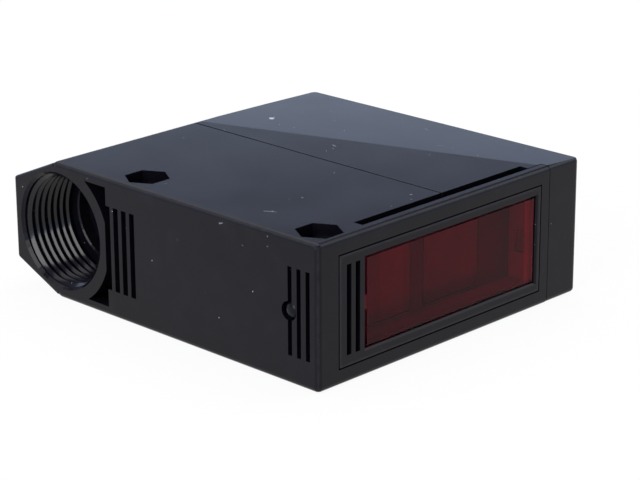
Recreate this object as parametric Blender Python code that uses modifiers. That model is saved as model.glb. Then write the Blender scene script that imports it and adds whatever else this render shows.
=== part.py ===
"""A slim retroreflective photoelectric sensor with a screw-terminal compartment, at its real size in metres.

The sensor lies on one broad side. +X is the way it looks, out of the red window. -Y is its base, which has
the conduit inlet and the grooves, and +Y is the lid of the terminal compartment. +Z runs through its
thickness. The origin is under the middle of the part, on the surface that it lies on.

A place along X is given as a distance behind the front face, and a place along Y as a height over the base.
"""

import math

import bmesh
import bpy
from mathutils import Matrix, Vector

MM = 0.001

# Overall sizes
LENGTH = 75.0 * MM
BODY_LENGTH = 64.4 * MM
HEIGHT = 65.0 * MM
THICKNESS = 25.0 * MM
EDGE_RADIUS = 0.8 * MM
SMALL_RADIUS = 0.35 * MM

# Clearances: between pieces that meet out of sight, and the seams that show outside
GAP = 0.3 * MM
SEAM = 0.25 * MM

# Housing walls
SIDE_WALL = 2.0 * MM
BASE_WALL = 3.0 * MM
PARTING_HEIGHT = 33.0 * MM
TONGUE_WALL = 1.2 * MM
TONGUE_HEIGHT = 6.0 * MM
RIM_DEPTH = 4.0 * MM

# Lid
LID_WALL = 1.6 * MM
LID_ROOF = 2.4 * MM
LID_SETBACK = 0.1 * MM
LID_RIB = 1.4 * MM
LID_RIB_HEIGHT = 2.0 * MM
CREASE_START = 1.3 * MM
CREASE_DROP = 0.7 * MM

# Front bezel, and the slot that runs behind it on both broad sides
BEZEL_DEPTH = 1.9 * MM
LID_NOSE = 8.1 * MM
SIDE_SLOT_WIDTH = 1.95 * MM
SIDE_SLOT_START = 12.1 * MM
SIDE_SLOT_END_INSET = 3.65 * MM
SIDE_SLOT_DEPTH = 2.2 * MM
FRONT_WEB = 1.4 * MM

# Front panel, let into the bezel
PANEL_START = 4.9 * MM
PANEL_END_INSET = 2.3 * MM
PANEL_WIDTH = 19.0 * MM
PANEL_THICKNESS = 1.5 * MM
PANEL_SLOT_WIDTH = 1.05 * MM
PANEL_SLOT_LENGTH = 15.4 * MM
PANEL_SLOT_PITCH = 2.03 * MM
PANEL_SLOT_INSET = 2.15 * MM
PANEL_SLOTS = 2

# Window, in the panel's opening
OPENING_INSET = 6.07 * MM
OPENING_END_INSET = 1.03 * MM
OPENING_WIDTH = 15.7 * MM
OPENING_CHAMFER = 0.3 * MM
WINDOW_RECESS = 0.4 * MM
WINDOW_THICKNESS = 1.1 * MM
WINDOW_END_GAP = 0.65 * MM
WINDOW_TAB_WIDTH = 2.5 * MM
WINDOW_LEDGE = 1.0 * MM
HOOK_HEIGHT = 0.8 * MM
HOOK_WIDTH = 4.0 * MM
HOOK_DEPTH = 1.6 * MM
END_NOTCH = 0.7 * MM
END_NOTCH_LOW = 8.5 * MM
END_NOTCH_HIGH = 19.0 * MM

# Grooves in the base
GROOVE_LENGTH = 15.1 * MM
GROOVE_DEPTH = 2.0 * MM
REAR_GROOVE_WIDTH = 1.2 * MM
REAR_GROOVE_PITCH = 2.05 * MM
REAR_GROOVE_FIRST = 43.88 * MM
REAR_GROOVES = 4
FRONT_GROOVE_WIDTH = 0.9 * MM
FRONT_GROOVE_PITCH = 2.0 * MM
FRONT_GROOVE_FIRST = 2.3 * MM
FRONT_GROOVES = 3

# Conduit inlet: a threaded tube inside a six-sided boss
CONDUIT_INSET = 12.1 * MM
CONDUIT_RADIUS = 10.2 * MM
CONDUIT_DEPTH = 11.0 * MM
CONDUIT_CHAMFER = 0.5 * MM
NECK_RADIUS = 8.1 * MM
NECK_LENGTH = 2.5 * MM
NECK_CHAMFER = 0.25 * MM
TUBE_WALL = 2.65 * MM
BOSS_FLAT = 15.0 * MM
BOSS_SHOULDER = 0.3 * MM
BOSS_LAP = 0.2 * MM
BOSS_ROOT = 0.85 * MM
BOSS_END_WALL = 2.0 * MM
POCKET_DEPTH = 9.0 * MM
POCKET_WIDTH = 21.6 * MM
POCKET_SLIT = 0.35 * MM
PARTITION = 2.25 * MM

# Mounting holes with a nut recess on each broad side
BOLT_HEIGHT = 5.35 * MM
BOLT_BACK = 4.9 * MM
BOLT_SPACING = 40.7 * MM
BOLT_RADIUS = 2.2 * MM
NUT_FLATS = 7.0 * MM
NUT_DEPTH = 2.4 * MM
SLEEVE_WALL = 1.25 * MM
SLEEVE_FRONT = 1.2 * MM

# Domed status light in the base, and the light guide that feeds it
STATUS_BACK = 6.5 * MM
STATUS_RADIUS = 1.4 * MM
STATUS_RECESS = 0.1 * MM
STATUS_DOME = 0.8 * MM
STATUS_LENGTH = 2.0 * MM
GUIDE_LOW = 1.0 * MM
GUIDE_THICKNESS = 1.0 * MM
GUIDE_WIDTH = 2.4 * MM
GUIDE_RISER_BACK = 11.0 * MM
INDICATOR_DEPTH = 1.1 * MM
INDICATOR_HEIGHT = 1.8 * MM

# Lens holder behind the window
HOLDER_DEPTH = 18.0 * MM
HOLDER_MARGIN = 1.7 * MM
LENS_FIRST_SHARE = 0.195
LENS_SPACING_SHARE = 0.43
LENS_RIM = 1.9 * MM
LENS_EDGE = 1.6 * MM
LENS_CROWN = 1.7 * MM
LENS_SEAT = 4.4 * MM
FILM_MARGIN = 0.2 * MM
FILM_THICKNESS = 0.5 * MM
LIGHT_TUBE_REAR = 3.3 * MM
LED_BORE_DEPTH = 4.0 * MM

# Emitter and receiver on the optics board
LED_RADIUS = 2.5 * MM
LED_FLANGE = 0.4 * MM
LED_FLANGE_THICKNESS = 1.0 * MM
LED_LENGTH = 7.5 * MM
DIODE_SIDE = 4.4 * MM
DIODE_THICKNESS = 2.2 * MM
BOARD_THICKNESS = 1.6 * MM

# Roof over the optics, which carries the controls and the lid's screw
SHELF_THICKNESS = 2.0 * MM
SCREW_BACK = 10.5 * MM
SCREW_RADIUS = 1.5 * MM
SCREW_LENGTH = 6.0 * MM
SCREW_HEAD_RADIUS = 2.9 * MM
SCREW_HEAD_HEIGHT = 1.5 * MM
SCREW_SLOT_WIDTH = 0.7 * MM
SCREW_SLOT_DEPTH = 0.8 * MM
PILLAR_RADIUS = 3.4 * MM
PILOT_DEPTH = 5.5 * MM

# Main board in the terminal compartment
POST_HEIGHT = 1.0 * MM
POST_RADIUS = 1.6 * MM
POST_INSET = 3.0 * MM
MAIN_BOARD_FRONT = 28.6 * MM
MAIN_BOARD_LOW = 17.0 * MM
MAIN_BOARD_TOP_INSET = 12.5 * MM
MAIN_BOARD_REAR_GAP = 0.8 * MM

# Parts on the main board
PARTS_INSET = 0.9 * MM
RELAY_TERMINAL_GAP = 4.3 * MM
RELAY_HEIGHT = 14.5 * MM
CAPACITOR_REAR_INSET = 6.8 * MM
CAPACITOR_RADIUS = 4.0 * MM
CAPACITOR_HEIGHT = 11.0 * MM
CAPACITOR_CRIMP = 0.35 * MM

# Terminal block with its screws
TERMINALS = 5
TERMINAL_MARGIN = 2.95 * MM
TERMINAL_HEIGHT = 10.5 * MM
TERMINAL_DEPTH = 10.5 * MM
TERMINAL_TOP_INSET = 0.8 * MM
TERMINAL_RIB = 0.8 * MM
TERMINAL_WELL_DEPTH = 2.6 * MM
TERMINAL_HEAD_HEIGHT = 1.6 * MM
TERMINAL_SHANK_SHARE = 0.63
TERMINAL_SHANK_LENGTH = 3.0 * MM
WIRE_ENTRY_RIB = 2.2 * MM
WIRE_ENTRY_DEPTH = 3.4 * MM

# Control board with the sensitivity trimmer and the light and dark selector
CONTROL_BOARD_FRONT = 16.0 * MM
CONTROL_BOARD_LENGTH = 17.0 * MM
CONTROL_BOARD_WIDTH = 16.0 * MM
TRIMMER_SIDE = 6.6 * MM
TRIMMER_HEIGHT = 2.9 * MM
TRIMMER_OFFSET = 4.0 * MM
ROTOR_RADIUS = 2.1 * MM
ROTOR_HEIGHT = 1.7 * MM
ROTOR_SEAT = 1.1 * MM
ROTOR_SLOT_WIDTH = 0.6 * MM
ROTOR_SLOT_DEPTH = 0.8 * MM
SELECTOR_LENGTH = 8.6 * MM
SELECTOR_WIDTH = 4.2 * MM
SELECTOR_HEIGHT = 2.4 * MM
SELECTOR_OFFSET = 4.4 * MM
SLIDER_LENGTH = 2.0 * MM
SLIDER_WIDTH = 1.4 * MM
SLIDER_HEIGHT = 2.2 * MM
SLIDER_TRAVEL = 2.0 * MM
SLIDER_SEAT = 1.2 * MM

ROUND_STEPS = 48
SMALL_STEPS = 24
POST_STEPS = 12
DOME_STEPS = 6
MERGE = 0.01 * MM
PAST = 1.0 * MM

MIDDLE = THICKNESS / 2
BODY_REAR = BODY_LENGTH
BEZEL_HEIGHT = HEIGHT - LID_NOSE
PANEL_LENGTH = BEZEL_HEIGHT - PANEL_END_INSET - PANEL_START
OPENING_LENGTH = PANEL_LENGTH - OPENING_INSET - OPENING_END_INSET
SIDE_SLOT_END = BEZEL_HEIGHT - SIDE_SLOT_END_INSET
CONDUIT_BACK = LENGTH - CONDUIT_INSET
SLOT_BACK = BEZEL_DEPTH + SIDE_SLOT_WIDTH
FRONT_WALL = SLOT_BACK + FRONT_WEB
TONGUE_SIDE = LID_WALL + GAP
CAVITY_SIDE = TONGUE_SIDE + TONGUE_WALL
CAVITY_REAR = BODY_REAR - CAVITY_SIDE
NECK_END = CONDUIT_DEPTH + NECK_LENGTH
TUBE_RADIUS = CONDUIT_RADIUS + TUBE_WALL
POCKET_FRONT = CONDUIT_BACK - CONDUIT_INSET - POCKET_SLIT
PARTITION_FRONT = POCKET_FRONT - PARTITION
OPENING_START = PANEL_START + OPENING_INSET
OPENING_END = OPENING_START + OPENING_LENGTH
LEDGE_DEPTH = PANEL_THICKNESS + GAP
TUNNEL_START = OPENING_START + WINDOW_LEDGE + WINDOW_END_GAP
TUNNEL_END = OPENING_END - WINDOW_LEDGE - GAP
TUNNEL_WIDTH = OPENING_WIDTH - 2 * GAP
HOLDER_FRONT = FRONT_WALL + GAP
HOLDER_BACK = HOLDER_FRONT + HOLDER_DEPTH
HOLDER_LOW = TUNNEL_START - HOLDER_MARGIN
HOLDER_TOP = TUNNEL_END + HOLDER_MARGIN
HOLDER_SIDE = CAVITY_SIDE + GAP
TUNNEL_LENGTH = TUNNEL_END - TUNNEL_START
LENS_SPACING = TUNNEL_LENGTH * LENS_SPACING_SHARE
LENS_RADIUS = LENS_SPACING / 2 - LENS_RIM
FILM_SIDE = 2 * (LENS_RADIUS + FILM_MARGIN)
EMITTER_HEIGHT = TUNNEL_START + TUNNEL_LENGTH * LENS_FIRST_SHARE
RECEIVER_HEIGHT = EMITTER_HEIGHT + LENS_SPACING
OPTICS_BOARD_FRONT = HOLDER_BACK + GAP
OPTICS_BOARD_BACK = OPTICS_BOARD_FRONT + BOARD_THICKNESS
SHELF_LOW = HOLDER_TOP + GAP
SHELF_TOP = SHELF_LOW + SHELF_THICKNESS
SHELF_BACK = OPTICS_BOARD_BACK + GAP
ROOF_INSIDE = HEIGHT - LID_ROOF
PILLAR_TOP = ROOF_INSIDE - GAP
GASKET_LOW = PARTING_HEIGHT + TONGUE_HEIGHT + GAP
RIB_LOW = GASKET_LOW + TONGUE_WALL + GAP
RIB_FRONT = SHELF_BACK + TONGUE_WALL + GAP
NUT_CORNER = NUT_FLATS / math.sqrt(3)
SLEEVE_RADIUS = NUT_CORNER + SLEEVE_WALL
MAIN_BOARD_REAR = CAVITY_REAR - MAIN_BOARD_REAR_GAP
MAIN_BOARD_TOP = HEIGHT - MAIN_BOARD_TOP_INSET
TERMINAL_TOP = MAIN_BOARD_TOP - TERMINAL_TOP_INSET
TERMINAL_LOW = TERMINAL_TOP - TERMINAL_HEIGHT
TERMINAL_FRONT = MAIN_BOARD_FRONT + TERMINAL_MARGIN
TERMINAL_PITCH = (MAIN_BOARD_REAR - TERMINAL_MARGIN - TERMINAL_FRONT) / TERMINALS
TERMINAL_WELL_RADIUS = TERMINAL_PITCH / 2 - TERMINAL_RIB / 2
TERMINAL_HEAD_RADIUS = TERMINAL_WELL_RADIUS - GAP
TERMINAL_SHANK_RADIUS = TERMINAL_HEAD_RADIUS * TERMINAL_SHANK_SHARE
WIRE_ENTRY = TERMINAL_PITCH - WIRE_ENTRY_RIB
RELAY_LOW = MAIN_BOARD_LOW + PARTS_INSET
RELAY_TOP = TERMINAL_LOW - RELAY_TERMINAL_GAP
CAPACITOR_BACK = MAIN_BOARD_REAR - CAPACITOR_REAR_INSET - CAPACITOR_RADIUS
RELAY_FRONT = MAIN_BOARD_FRONT + PARTS_INSET
RELAY_REAR = CAPACITOR_BACK - CAPACITOR_RADIUS - PARTS_INSET
MAIN_BOARD_SIDE = CAVITY_SIDE + POST_HEIGHT + GAP
ON_MAIN_BOARD = MAIN_BOARD_SIDE + BOARD_THICKNESS + GAP
CONTROL_BOARD_LOW = SHELF_TOP + GAP
ON_CONTROL_BOARD = CONTROL_BOARD_LOW + BOARD_THICKNESS + GAP
CONTROLS_BACK = CONTROL_BOARD_FRONT + CONTROL_BOARD_LENGTH / 2

parts = bpy.data.collections.new("photoelectric_sensor")
cutters = bpy.data.collections.new("construction")


def x_at(behind):
    """The X of a plane this far behind the front face."""
    return LENGTH / 2 - behind


def y_at(height):
    """The Y of a plane this high over the base."""
    return height - HEIGHT / 2


def across(width):
    """The Z of both sides of something this wide, centred in the thickness."""
    return MIDDLE - width / 2, MIDDLE + width / 2


def behind(front, back):
    """The X span between two distances behind the front face, in rising order."""
    return x_at(back), x_at(front)


def heights(low, high):
    """The Y span between two heights over the base."""
    return y_at(low), y_at(high)


def clear_scene():
    for old in list(bpy.data.objects):
        bpy.data.objects.remove(old, do_unlink=True)
    for made in (parts, cutters):
        bpy.context.scene.collection.children.link(made)


def finish_of(name, colour, roughness, metallic=0.0, transmission=0.0):
    """A plain Principled material."""
    made = bpy.data.materials.new(name)
    made.use_nodes = True
    shader = made.node_tree.nodes["Principled BSDF"]
    shader.inputs["Base Color"].default_value = (*colour, 1.0)
    shader.inputs["Roughness"].default_value = roughness
    shader.inputs["Metallic"].default_value = metallic
    shader.inputs["Transmission Weight"].default_value = transmission
    return made


def add(name, mesh, collection, place=None):
    """An object of the mesh, with its origin at the place."""
    made = bpy.data.objects.new(name, mesh)
    made.matrix_world = place or Matrix.Identity(4)
    collection.objects.link(made)
    if collection is not parts:
        made.hide_render = True
        made.display_type = "WIRE"
    return made


def mesh_from(name, sketch):
    mesh = bpy.data.meshes.new(name)
    sketch.to_mesh(mesh)
    sketch.free()
    return mesh


def box(name, x, y, z, collection=None):
    """A box over three spans, with its origin at its middle."""
    size = Vector((x[1] - x[0], y[1] - y[0], z[1] - z[0]))
    middle = Vector((x[0] + x[1], y[0] + y[1], z[0] + z[1])) / 2
    sketch = bmesh.new()
    bmesh.ops.create_cube(sketch, size=1.0)
    bmesh.ops.scale(sketch, vec=size, verts=sketch.verts)
    return add(name, mesh_from(name, sketch), collection or parts, Matrix.Translation(middle))


def flare(name, x, y, z, spread, collection):
    """A box whose end towards +X is wider by the spread on all four sides."""
    made = box(name, x, y, z, collection)
    for vertex in made.data.vertices:
        if vertex.co.x > 0:
            vertex.co.y += math.copysign(spread, vertex.co.y)
            vertex.co.z += math.copysign(spread, vertex.co.z)
    return made


def pointing(axis):
    """The turn that takes a shape's own Z to the axis."""
    return Vector((0, 0, 1)).rotation_difference(Vector(axis)).to_matrix().to_4x4()


def cylinder(name, radius, length, base, axis, collection=None, steps=SMALL_STEPS):
    """A cylinder that starts at the base point and runs along the axis."""
    sketch = bmesh.new()
    bmesh.ops.create_cone(
        sketch, cap_ends=True, segments=steps, radius1=radius, radius2=radius, depth=length
    )
    bmesh.ops.translate(sketch, vec=(0, 0, length / 2), verts=sketch.verts)
    place = Matrix.Translation(Vector(base)) @ pointing(axis)
    return add(name, mesh_from(name, sketch), collection or parts, place)


def turned(name, profile, base, axis, collection=None, steps=SMALL_STEPS):
    """A solid of revolution. The profile holds (radius, height) pairs, from the top down its outer side."""
    sketch = bmesh.new()
    points = [sketch.verts.new((radius, 0, height)) for radius, height in profile]
    for first, second in zip(points, points[1:]):
        sketch.edges.new((first, second))
    place = Matrix.Translation(Vector(base)) @ pointing(axis)
    made = add(name, mesh_from(name, sketch), collection or parts, place)
    spin = made.modifiers.new("turn", "SCREW")
    spin.angle = math.tau
    spin.steps = steps
    spin.render_steps = steps
    spin.use_merge_vertices = True
    spin.merge_threshold = MERGE
    return made


def prism(name, outline, low, high, axis, collection=None):
    """A flat outline extruded along Z, Y or X. The outline is in X and Y, in X and Z, or in Y and Z."""
    curve = bpy.data.curves.new(name, "CURVE")
    curve.dimensions = "2D"
    curve.fill_mode = "BOTH"
    curve.extrude = (high - low) / 2
    spline = curve.splines.new("POLY")
    spline.points.add(len(outline) - 1)
    for point, (first, second) in zip(spline.points, outline):
        point.co = (first, second, 0, 1)
    spline.use_cyclic_u = True
    guide = bpy.data.objects.new(name + "_outline", curve)
    bpy.context.scene.collection.objects.link(guide)
    graph = bpy.context.evaluated_depsgraph_get()
    mesh = bpy.data.meshes.new_from_object(guide.evaluated_get(graph))
    bpy.data.objects.remove(guide, do_unlink=True)
    bpy.data.curves.remove(curve)
    sketch = bmesh.new()
    sketch.from_mesh(mesh)
    bmesh.ops.remove_doubles(sketch, verts=sketch.verts, dist=MERGE / 10)
    middle = (high + low) / 2
    ways = {
        "Z": Matrix(((1, 0, 0, 0), (0, 1, 0, 0), (0, 0, 1, middle), (0, 0, 0, 1))),
        "Y": Matrix(((1, 0, 0, 0), (0, 0, 1, middle), (0, 1, 0, 0), (0, 0, 0, 1))),
        "X": Matrix(((0, 0, 1, middle), (1, 0, 0, 0), (0, 1, 0, 0), (0, 0, 0, 1))),
    }
    bmesh.ops.transform(sketch, matrix=ways[axis], verts=sketch.verts)
    bmesh.ops.recalc_face_normals(sketch, faces=sketch.faces)
    sketch.to_mesh(mesh)
    sketch.free()
    mesh.name = name
    return add(name, mesh, collection or parts)


def arc(centre, radius, start, end, steps):
    """Points on an arc, its angles in degrees."""
    turns = [math.radians(start + (end - start) * n / steps) for n in range(steps + 1)]
    return [(centre[0] + radius * math.cos(a), centre[1] + radius * math.sin(a)) for a in turns]


def helpers(name):
    """A collection inside the construction one, for the solids of one Boolean."""
    made = bpy.data.collections.new(name)
    cutters.children.link(made)
    return made


def combine(target, operation, group):
    """Unites the target with all solids of the group, or cuts them all from it."""
    step = target.modifiers.new(group.name, "BOOLEAN")
    step.operation = operation
    step.operand_type = "COLLECTION"
    step.collection = group
    step.solver = "EXACT"


def soften(target, width, segments=3):
    """Rounds the sharp edges of a solid."""
    edge = target.modifiers.new("edges", "BEVEL")
    edge.width = width
    edge.segments = segments
    edge.limit_method = "ANGLE"
    edge.harden_normals = False


def smooth(target):
    """Shades round faces smooth and keeps sharp edges sharp."""
    target.data.shade_smooth()
    target.data.set_sharp_from_angle(angle=math.radians(35))


def envelope(name, front, collection=None):
    """The rounded block that the housing and the lid are both cut from, so that their sides are flush."""
    made = box(name, behind(front, BODY_REAR), heights(0, HEIGHT), (0, THICKNESS), collection)
    soften(made, EDGE_RADIUS)
    return made


def hexagon(centre, across_flats):
    """Corners of a hexagon that has two flats across X and is given by the distance between them."""
    return arc(centre, across_flats / math.sqrt(3), 30, 330, 5)


def bolt_centres():
    """The places of the two mounting holes."""
    return [
        (x_at(BOLT_BACK + n * BOLT_SPACING), y_at(BOLT_HEIGHT))
        for n in range(2)
    ]


def housing_outside():
    """What stands out of the block: the conduit boss and the core that goes up inside the lid."""
    group = helpers("housing_outside")
    low, high = across(BOSS_FLAT)
    inside = x_at(BODY_REAR - SIDE_WALL)
    root = x_at(BODY_REAR - BOSS_ROOT)
    lap = x_at(BODY_REAR - BOSS_LAP)
    boss = [
        (inside, THICKNESS - BOSS_ROOT),
        (root, THICKNESS - BOSS_ROOT),
        (lap, THICKNESS - BOSS_SHOULDER),
        (x_at(LENGTH), high),
        (x_at(LENGTH), low),
        (lap, BOSS_SHOULDER),
        (root, BOSS_ROOT),
        (inside, BOSS_ROOT),
    ]
    soften(prism("conduit_boss", boss, y_at(0), y_at(NECK_END + BOSS_END_WALL), "Y", group), SMALL_RADIUS, 2)
    sides = (TONGUE_SIDE, THICKNESS - TONGUE_SIDE)
    start = PARTING_HEIGHT - RIM_DEPTH / 2
    tongue_top = PARTING_HEIGHT + TONGUE_HEIGHT
    rear = BODY_REAR - TONGUE_SIDE
    box("tongue", behind(FRONT_WALL, rear), heights(start, tongue_top), sides, group)
    box(
        "optics_box",
        behind(BEZEL_DEPTH - GAP, SHELF_BACK + TONGUE_WALL),
        heights(start, SHELF_TOP),
        sides,
        group,
    )
    return group


def housing_hollows():
    """What opens the block: the room over the parting line, the cavity and the wider relief low down."""
    group = helpers("housing_hollows")
    width = (-PAST, THICKNESS + PAST)
    roof = HEIGHT + PAST
    box("over_parting", behind(BEZEL_DEPTH, BODY_REAR + PAST), heights(PARTING_HEIGHT, roof), width, group)
    box("over_bezel", behind(-PAST, BEZEL_DEPTH + PAST), heights(BEZEL_HEIGHT, roof), width, group)
    return group


def housing_cavities():
    group = helpers("housing_cavities")
    sides = (CAVITY_SIDE, THICKNESS - CAVITY_SIDE)
    box("cavity", behind(FRONT_WALL, CAVITY_REAR), heights(BASE_WALL, SHELF_TOP + PAST), sides, group)
    relief = (SIDE_WALL, THICKNESS - SIDE_WALL)
    low_rim = PARTING_HEIGHT - RIM_DEPTH
    box("relief", behind(FRONT_WALL, BODY_REAR - SIDE_WALL), heights(BASE_WALL, low_rim), relief, group)
    return group


def sleeve(group, number, centre):
    """The wall round a mounting hole: a half round on straight sides that end in the base wall."""
    x, y = centre
    front = x_at(SLEEVE_FRONT)
    rim = [(min(px, front), py) for px, py in arc((x, y), SLEEVE_RADIUS, 0, 180, 12)]
    low = y_at(BASE_WALL / 2)
    outline = rim + [(x - SLEEVE_RADIUS, low), (min(x + SLEEVE_RADIUS, front), low)]
    prism(f"sleeve_{number}", outline, SIDE_WALL / 2, THICKNESS - SIDE_WALL / 2, "Z", group)


def housing_inside():
    """Walls and posts inside the cavity."""
    group = helpers("housing_inside")
    sides = (SIDE_WALL / 2, THICKNESS - SIDE_WALL / 2)
    conduit_walls = behind(PARTITION_FRONT, BODY_REAR - SIDE_WALL / 2)
    box("conduit_block", conduit_walls, heights(BASE_WALL / 2, NECK_END), sides, group)
    for number, centre in enumerate(bolt_centres(), 1):
        sleeve(group, number, centre)
    shelf_sides = (TONGUE_SIDE + TONGUE_WALL / 2, THICKNESS - TONGUE_SIDE - TONGUE_WALL / 2)
    box(
        "shelf",
        behind(FRONT_WALL - FRONT_WEB / 2, SHELF_BACK + TONGUE_WALL),
        heights(SHELF_LOW, SHELF_TOP),
        shelf_sides,
        group,
    )
    foot = (x_at(SCREW_BACK), y_at(SHELF_LOW + SHELF_THICKNESS / 2), MIDDLE)
    height = PILLAR_TOP - SHELF_LOW - SHELF_THICKNESS / 2
    cylinder("pillar", PILLAR_RADIUS, height, foot, (0, 1, 0), group)
    board_posts(group)
    return group


def board_posts(group):
    """Four posts that carry the main board, two on the side wall and two on the tongue."""
    levels = (
        (MAIN_BOARD_LOW + POST_INSET, SIDE_WALL / 2),
        (PARTING_HEIGHT + TONGUE_HEIGHT - POST_RADIUS, CAVITY_SIDE - TONGUE_WALL / 2),
    )
    top = CAVITY_SIDE + POST_HEIGHT
    for side, back in (("front", MAIN_BOARD_FRONT + POST_INSET), ("rear", MAIN_BOARD_REAR - POST_INSET)):
        for level, (height, start) in enumerate(levels, 1):
            foot = (x_at(back), y_at(height), start)
            cylinder(f"post_{side}_{level}", POST_RADIUS, top - start, foot, (0, 0, 1), group, POST_STEPS)


def conduit_hole(group):
    """The bore for the conduit's thread, its chamfered mouth and the neck into the cavity."""
    mouth = CONDUIT_RADIUS + CONDUIT_CHAMFER
    profile = [
        (0, PAST),
        (mouth, PAST),
        (mouth, 0),
        (CONDUIT_RADIUS, -CONDUIT_CHAMFER),
        (CONDUIT_RADIUS, -CONDUIT_DEPTH),
        (NECK_RADIUS + NECK_CHAMFER, -CONDUIT_DEPTH),
        (NECK_RADIUS, -CONDUIT_DEPTH - NECK_CHAMFER),
        (NECK_RADIUS, -NECK_END),
        (0, -NECK_END),
    ]
    turned("conduit_bore", profile, (x_at(CONDUIT_BACK), y_at(0), MIDDLE), (0, -1, 0), group, ROUND_STEPS)
    box(
        "cable_way",
        behind(CONDUIT_BACK - NECK_RADIUS / 2, BODY_REAR - SIDE_WALL),
        heights(NECK_END - NECK_LENGTH / 2, NECK_END + PAST),
        across(NECK_RADIUS),
        group,
    )


def tube_pocket(group):
    """The hollow round the front half of the conduit tube, open at the base."""
    centre = (x_at(CONDUIT_BACK), MIDDLE)
    low, high = across(POCKET_WIDTH)
    flat = CONDUIT_INSET
    edge = x_at(POCKET_FRONT)
    top = math.degrees(math.asin(POCKET_WIDTH / 2 / TUBE_RADIUS))
    side = math.degrees(math.acos(min(1.0, flat / TUBE_RADIUS)))
    tube = arc(centre, TUBE_RADIUS, -top, -side, 8) + arc(centre, TUBE_RADIUS, side, top, 8)
    outline = tube + [(edge, high), (edge, low)]
    prism("tube_pocket", outline, y_at(-PAST), y_at(POCKET_DEPTH), "Y", group)


def groove(group, name, middle, width):
    """One groove in the base, its middle this far behind the front face."""
    span = behind(middle - width / 2, middle + width / 2)
    box(name, span, heights(-PAST, GROOVE_DEPTH), across(GROOVE_LENGTH), group)


def mounting_holes(group):
    """Two through holes, each with a nut recess on both broad sides."""
    for number, (x, y) in enumerate(bolt_centres(), 1):
        through = THICKNESS + 2 * PAST
        cylinder(f"bolt_hole_{number}", BOLT_RADIUS, through, (x, y, -PAST), (0, 0, 1), group)
        outline = hexagon((x, y), NUT_FLATS)
        prism(f"nut_low_{number}", outline, -PAST, NUT_DEPTH, "Z", group)
        prism(f"nut_high_{number}", outline, THICKNESS - NUT_DEPTH, THICKNESS + PAST, "Z", group)


def guide_channel(group):
    """The round hole for the status light, and the channel in the base wall behind it."""
    at = (x_at(STATUS_BACK), y_at(-PAST), MIDDLE)
    depth = GUIDE_LOW + GUIDE_THICKNESS + GAP + PAST
    cylinder("light_hole", STATUS_RADIUS + SEAM, depth, at, (0, 1, 0), group)
    box(
        "light_channel",
        behind(STATUS_BACK, GUIDE_RISER_BACK + GUIDE_THICKNESS + GAP),
        heights(GUIDE_LOW - GAP, GUIDE_LOW + GUIDE_THICKNESS + GAP),
        across(GUIDE_WIDTH + 2 * GAP),
        group,
    )
    box(
        "riser_slot",
        behind(GUIDE_RISER_BACK - GAP, GUIDE_RISER_BACK + GUIDE_THICKNESS + GAP),
        heights(GUIDE_LOW, BASE_WALL + PAST),
        across(GUIDE_WIDTH + 2 * GAP),
        group,
    )


def housing_cuts():
    """Every hole, slot and recess that is cut last."""
    group = helpers("housing_cuts")
    conduit_hole(group)
    tube_pocket(group)
    mounting_holes(group)
    guide_channel(group)
    for n in range(REAR_GROOVES):
        middle = REAR_GROOVE_FIRST + n * REAR_GROOVE_PITCH
        groove(group, f"rear_groove_{n + 1}", middle, REAR_GROOVE_WIDTH)
    for n in range(FRONT_GROOVES):
        middle = FRONT_GROOVE_FIRST + n * FRONT_GROOVE_PITCH
        groove(group, f"front_groove_{n + 1}", middle, FRONT_GROOVE_WIDTH)
    slot = behind(BEZEL_DEPTH, SLOT_BACK)
    along = heights(SIDE_SLOT_START, SIDE_SLOT_END)
    box("side_slot_low", slot, along, (-PAST, SIDE_SLOT_DEPTH), group)
    box("side_slot_high", slot, along, (THICKNESS - SIDE_SLOT_DEPTH, THICKNESS + PAST), group)
    box(
        "panel_pocket",
        behind(-PAST, LEDGE_DEPTH),
        heights(PANEL_START - SEAM, PANEL_START + PANEL_LENGTH + SEAM),
        across(PANEL_WIDTH + 2 * SEAM),
        group,
    )
    tunnel = behind(LEDGE_DEPTH - GAP, FRONT_WALL + PAST)
    box("light_tunnel", tunnel, heights(TUNNEL_START, TUNNEL_END), across(TUNNEL_WIDTH), group)
    notch = heights(TUNNEL_END - PAST, TUNNEL_END + END_NOTCH)
    box("end_notch", tunnel, notch, (END_NOTCH_LOW, END_NOTCH_HIGH), group)
    pilot = (x_at(SCREW_BACK), y_at(PILLAR_TOP - PILOT_DEPTH), MIDDLE)
    cylinder("pilot_hole", SCREW_RADIUS + GAP, PILOT_DEPTH + GAP / 2, pilot, (0, 1, 0), group)
    return group


def make_housing(plastic):
    """The one-piece moulded housing."""
    housing = envelope("housing", 0)
    combine(housing, "DIFFERENCE", housing_hollows())
    combine(housing, "UNION", housing_outside())
    combine(housing, "DIFFERENCE", housing_cavities())
    combine(housing, "UNION", housing_inside())
    combine(housing, "DIFFERENCE", housing_cuts())
    housing.data.materials.append(plastic)


def facet_cutter(group, name, side):
    """A slab over the sloping facet of a broad side, which falls away from the crease. Side is 1 or -1."""
    level = MIDDLE + side * MIDDLE
    rear = Vector((x_at(BODY_REAR), y_at(PARTING_HEIGHT + CREASE_START), level))
    front = Vector((x_at(0), y_at(BEZEL_HEIGHT), level))
    corner = Vector((x_at(BODY_REAR), y_at(HEIGHT), level - side * CREASE_DROP))
    along = (front - rear).normalized()
    normal = along.cross(corner - rear).normalized()
    if normal.z * side < 0:
        normal = -normal
    up = normal.cross(along)
    made = box(name, (-LENGTH, LENGTH), (0, HEIGHT), (0, 2 * PAST), group)
    if up.y < 0:
        up = -up
        along = -along
    turn = Matrix((along, up, normal)).transposed().to_4x4()
    offset = made.location.copy()
    made.matrix_world = Matrix.Translation(rear) @ turn @ Matrix.Translation(offset)


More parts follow.
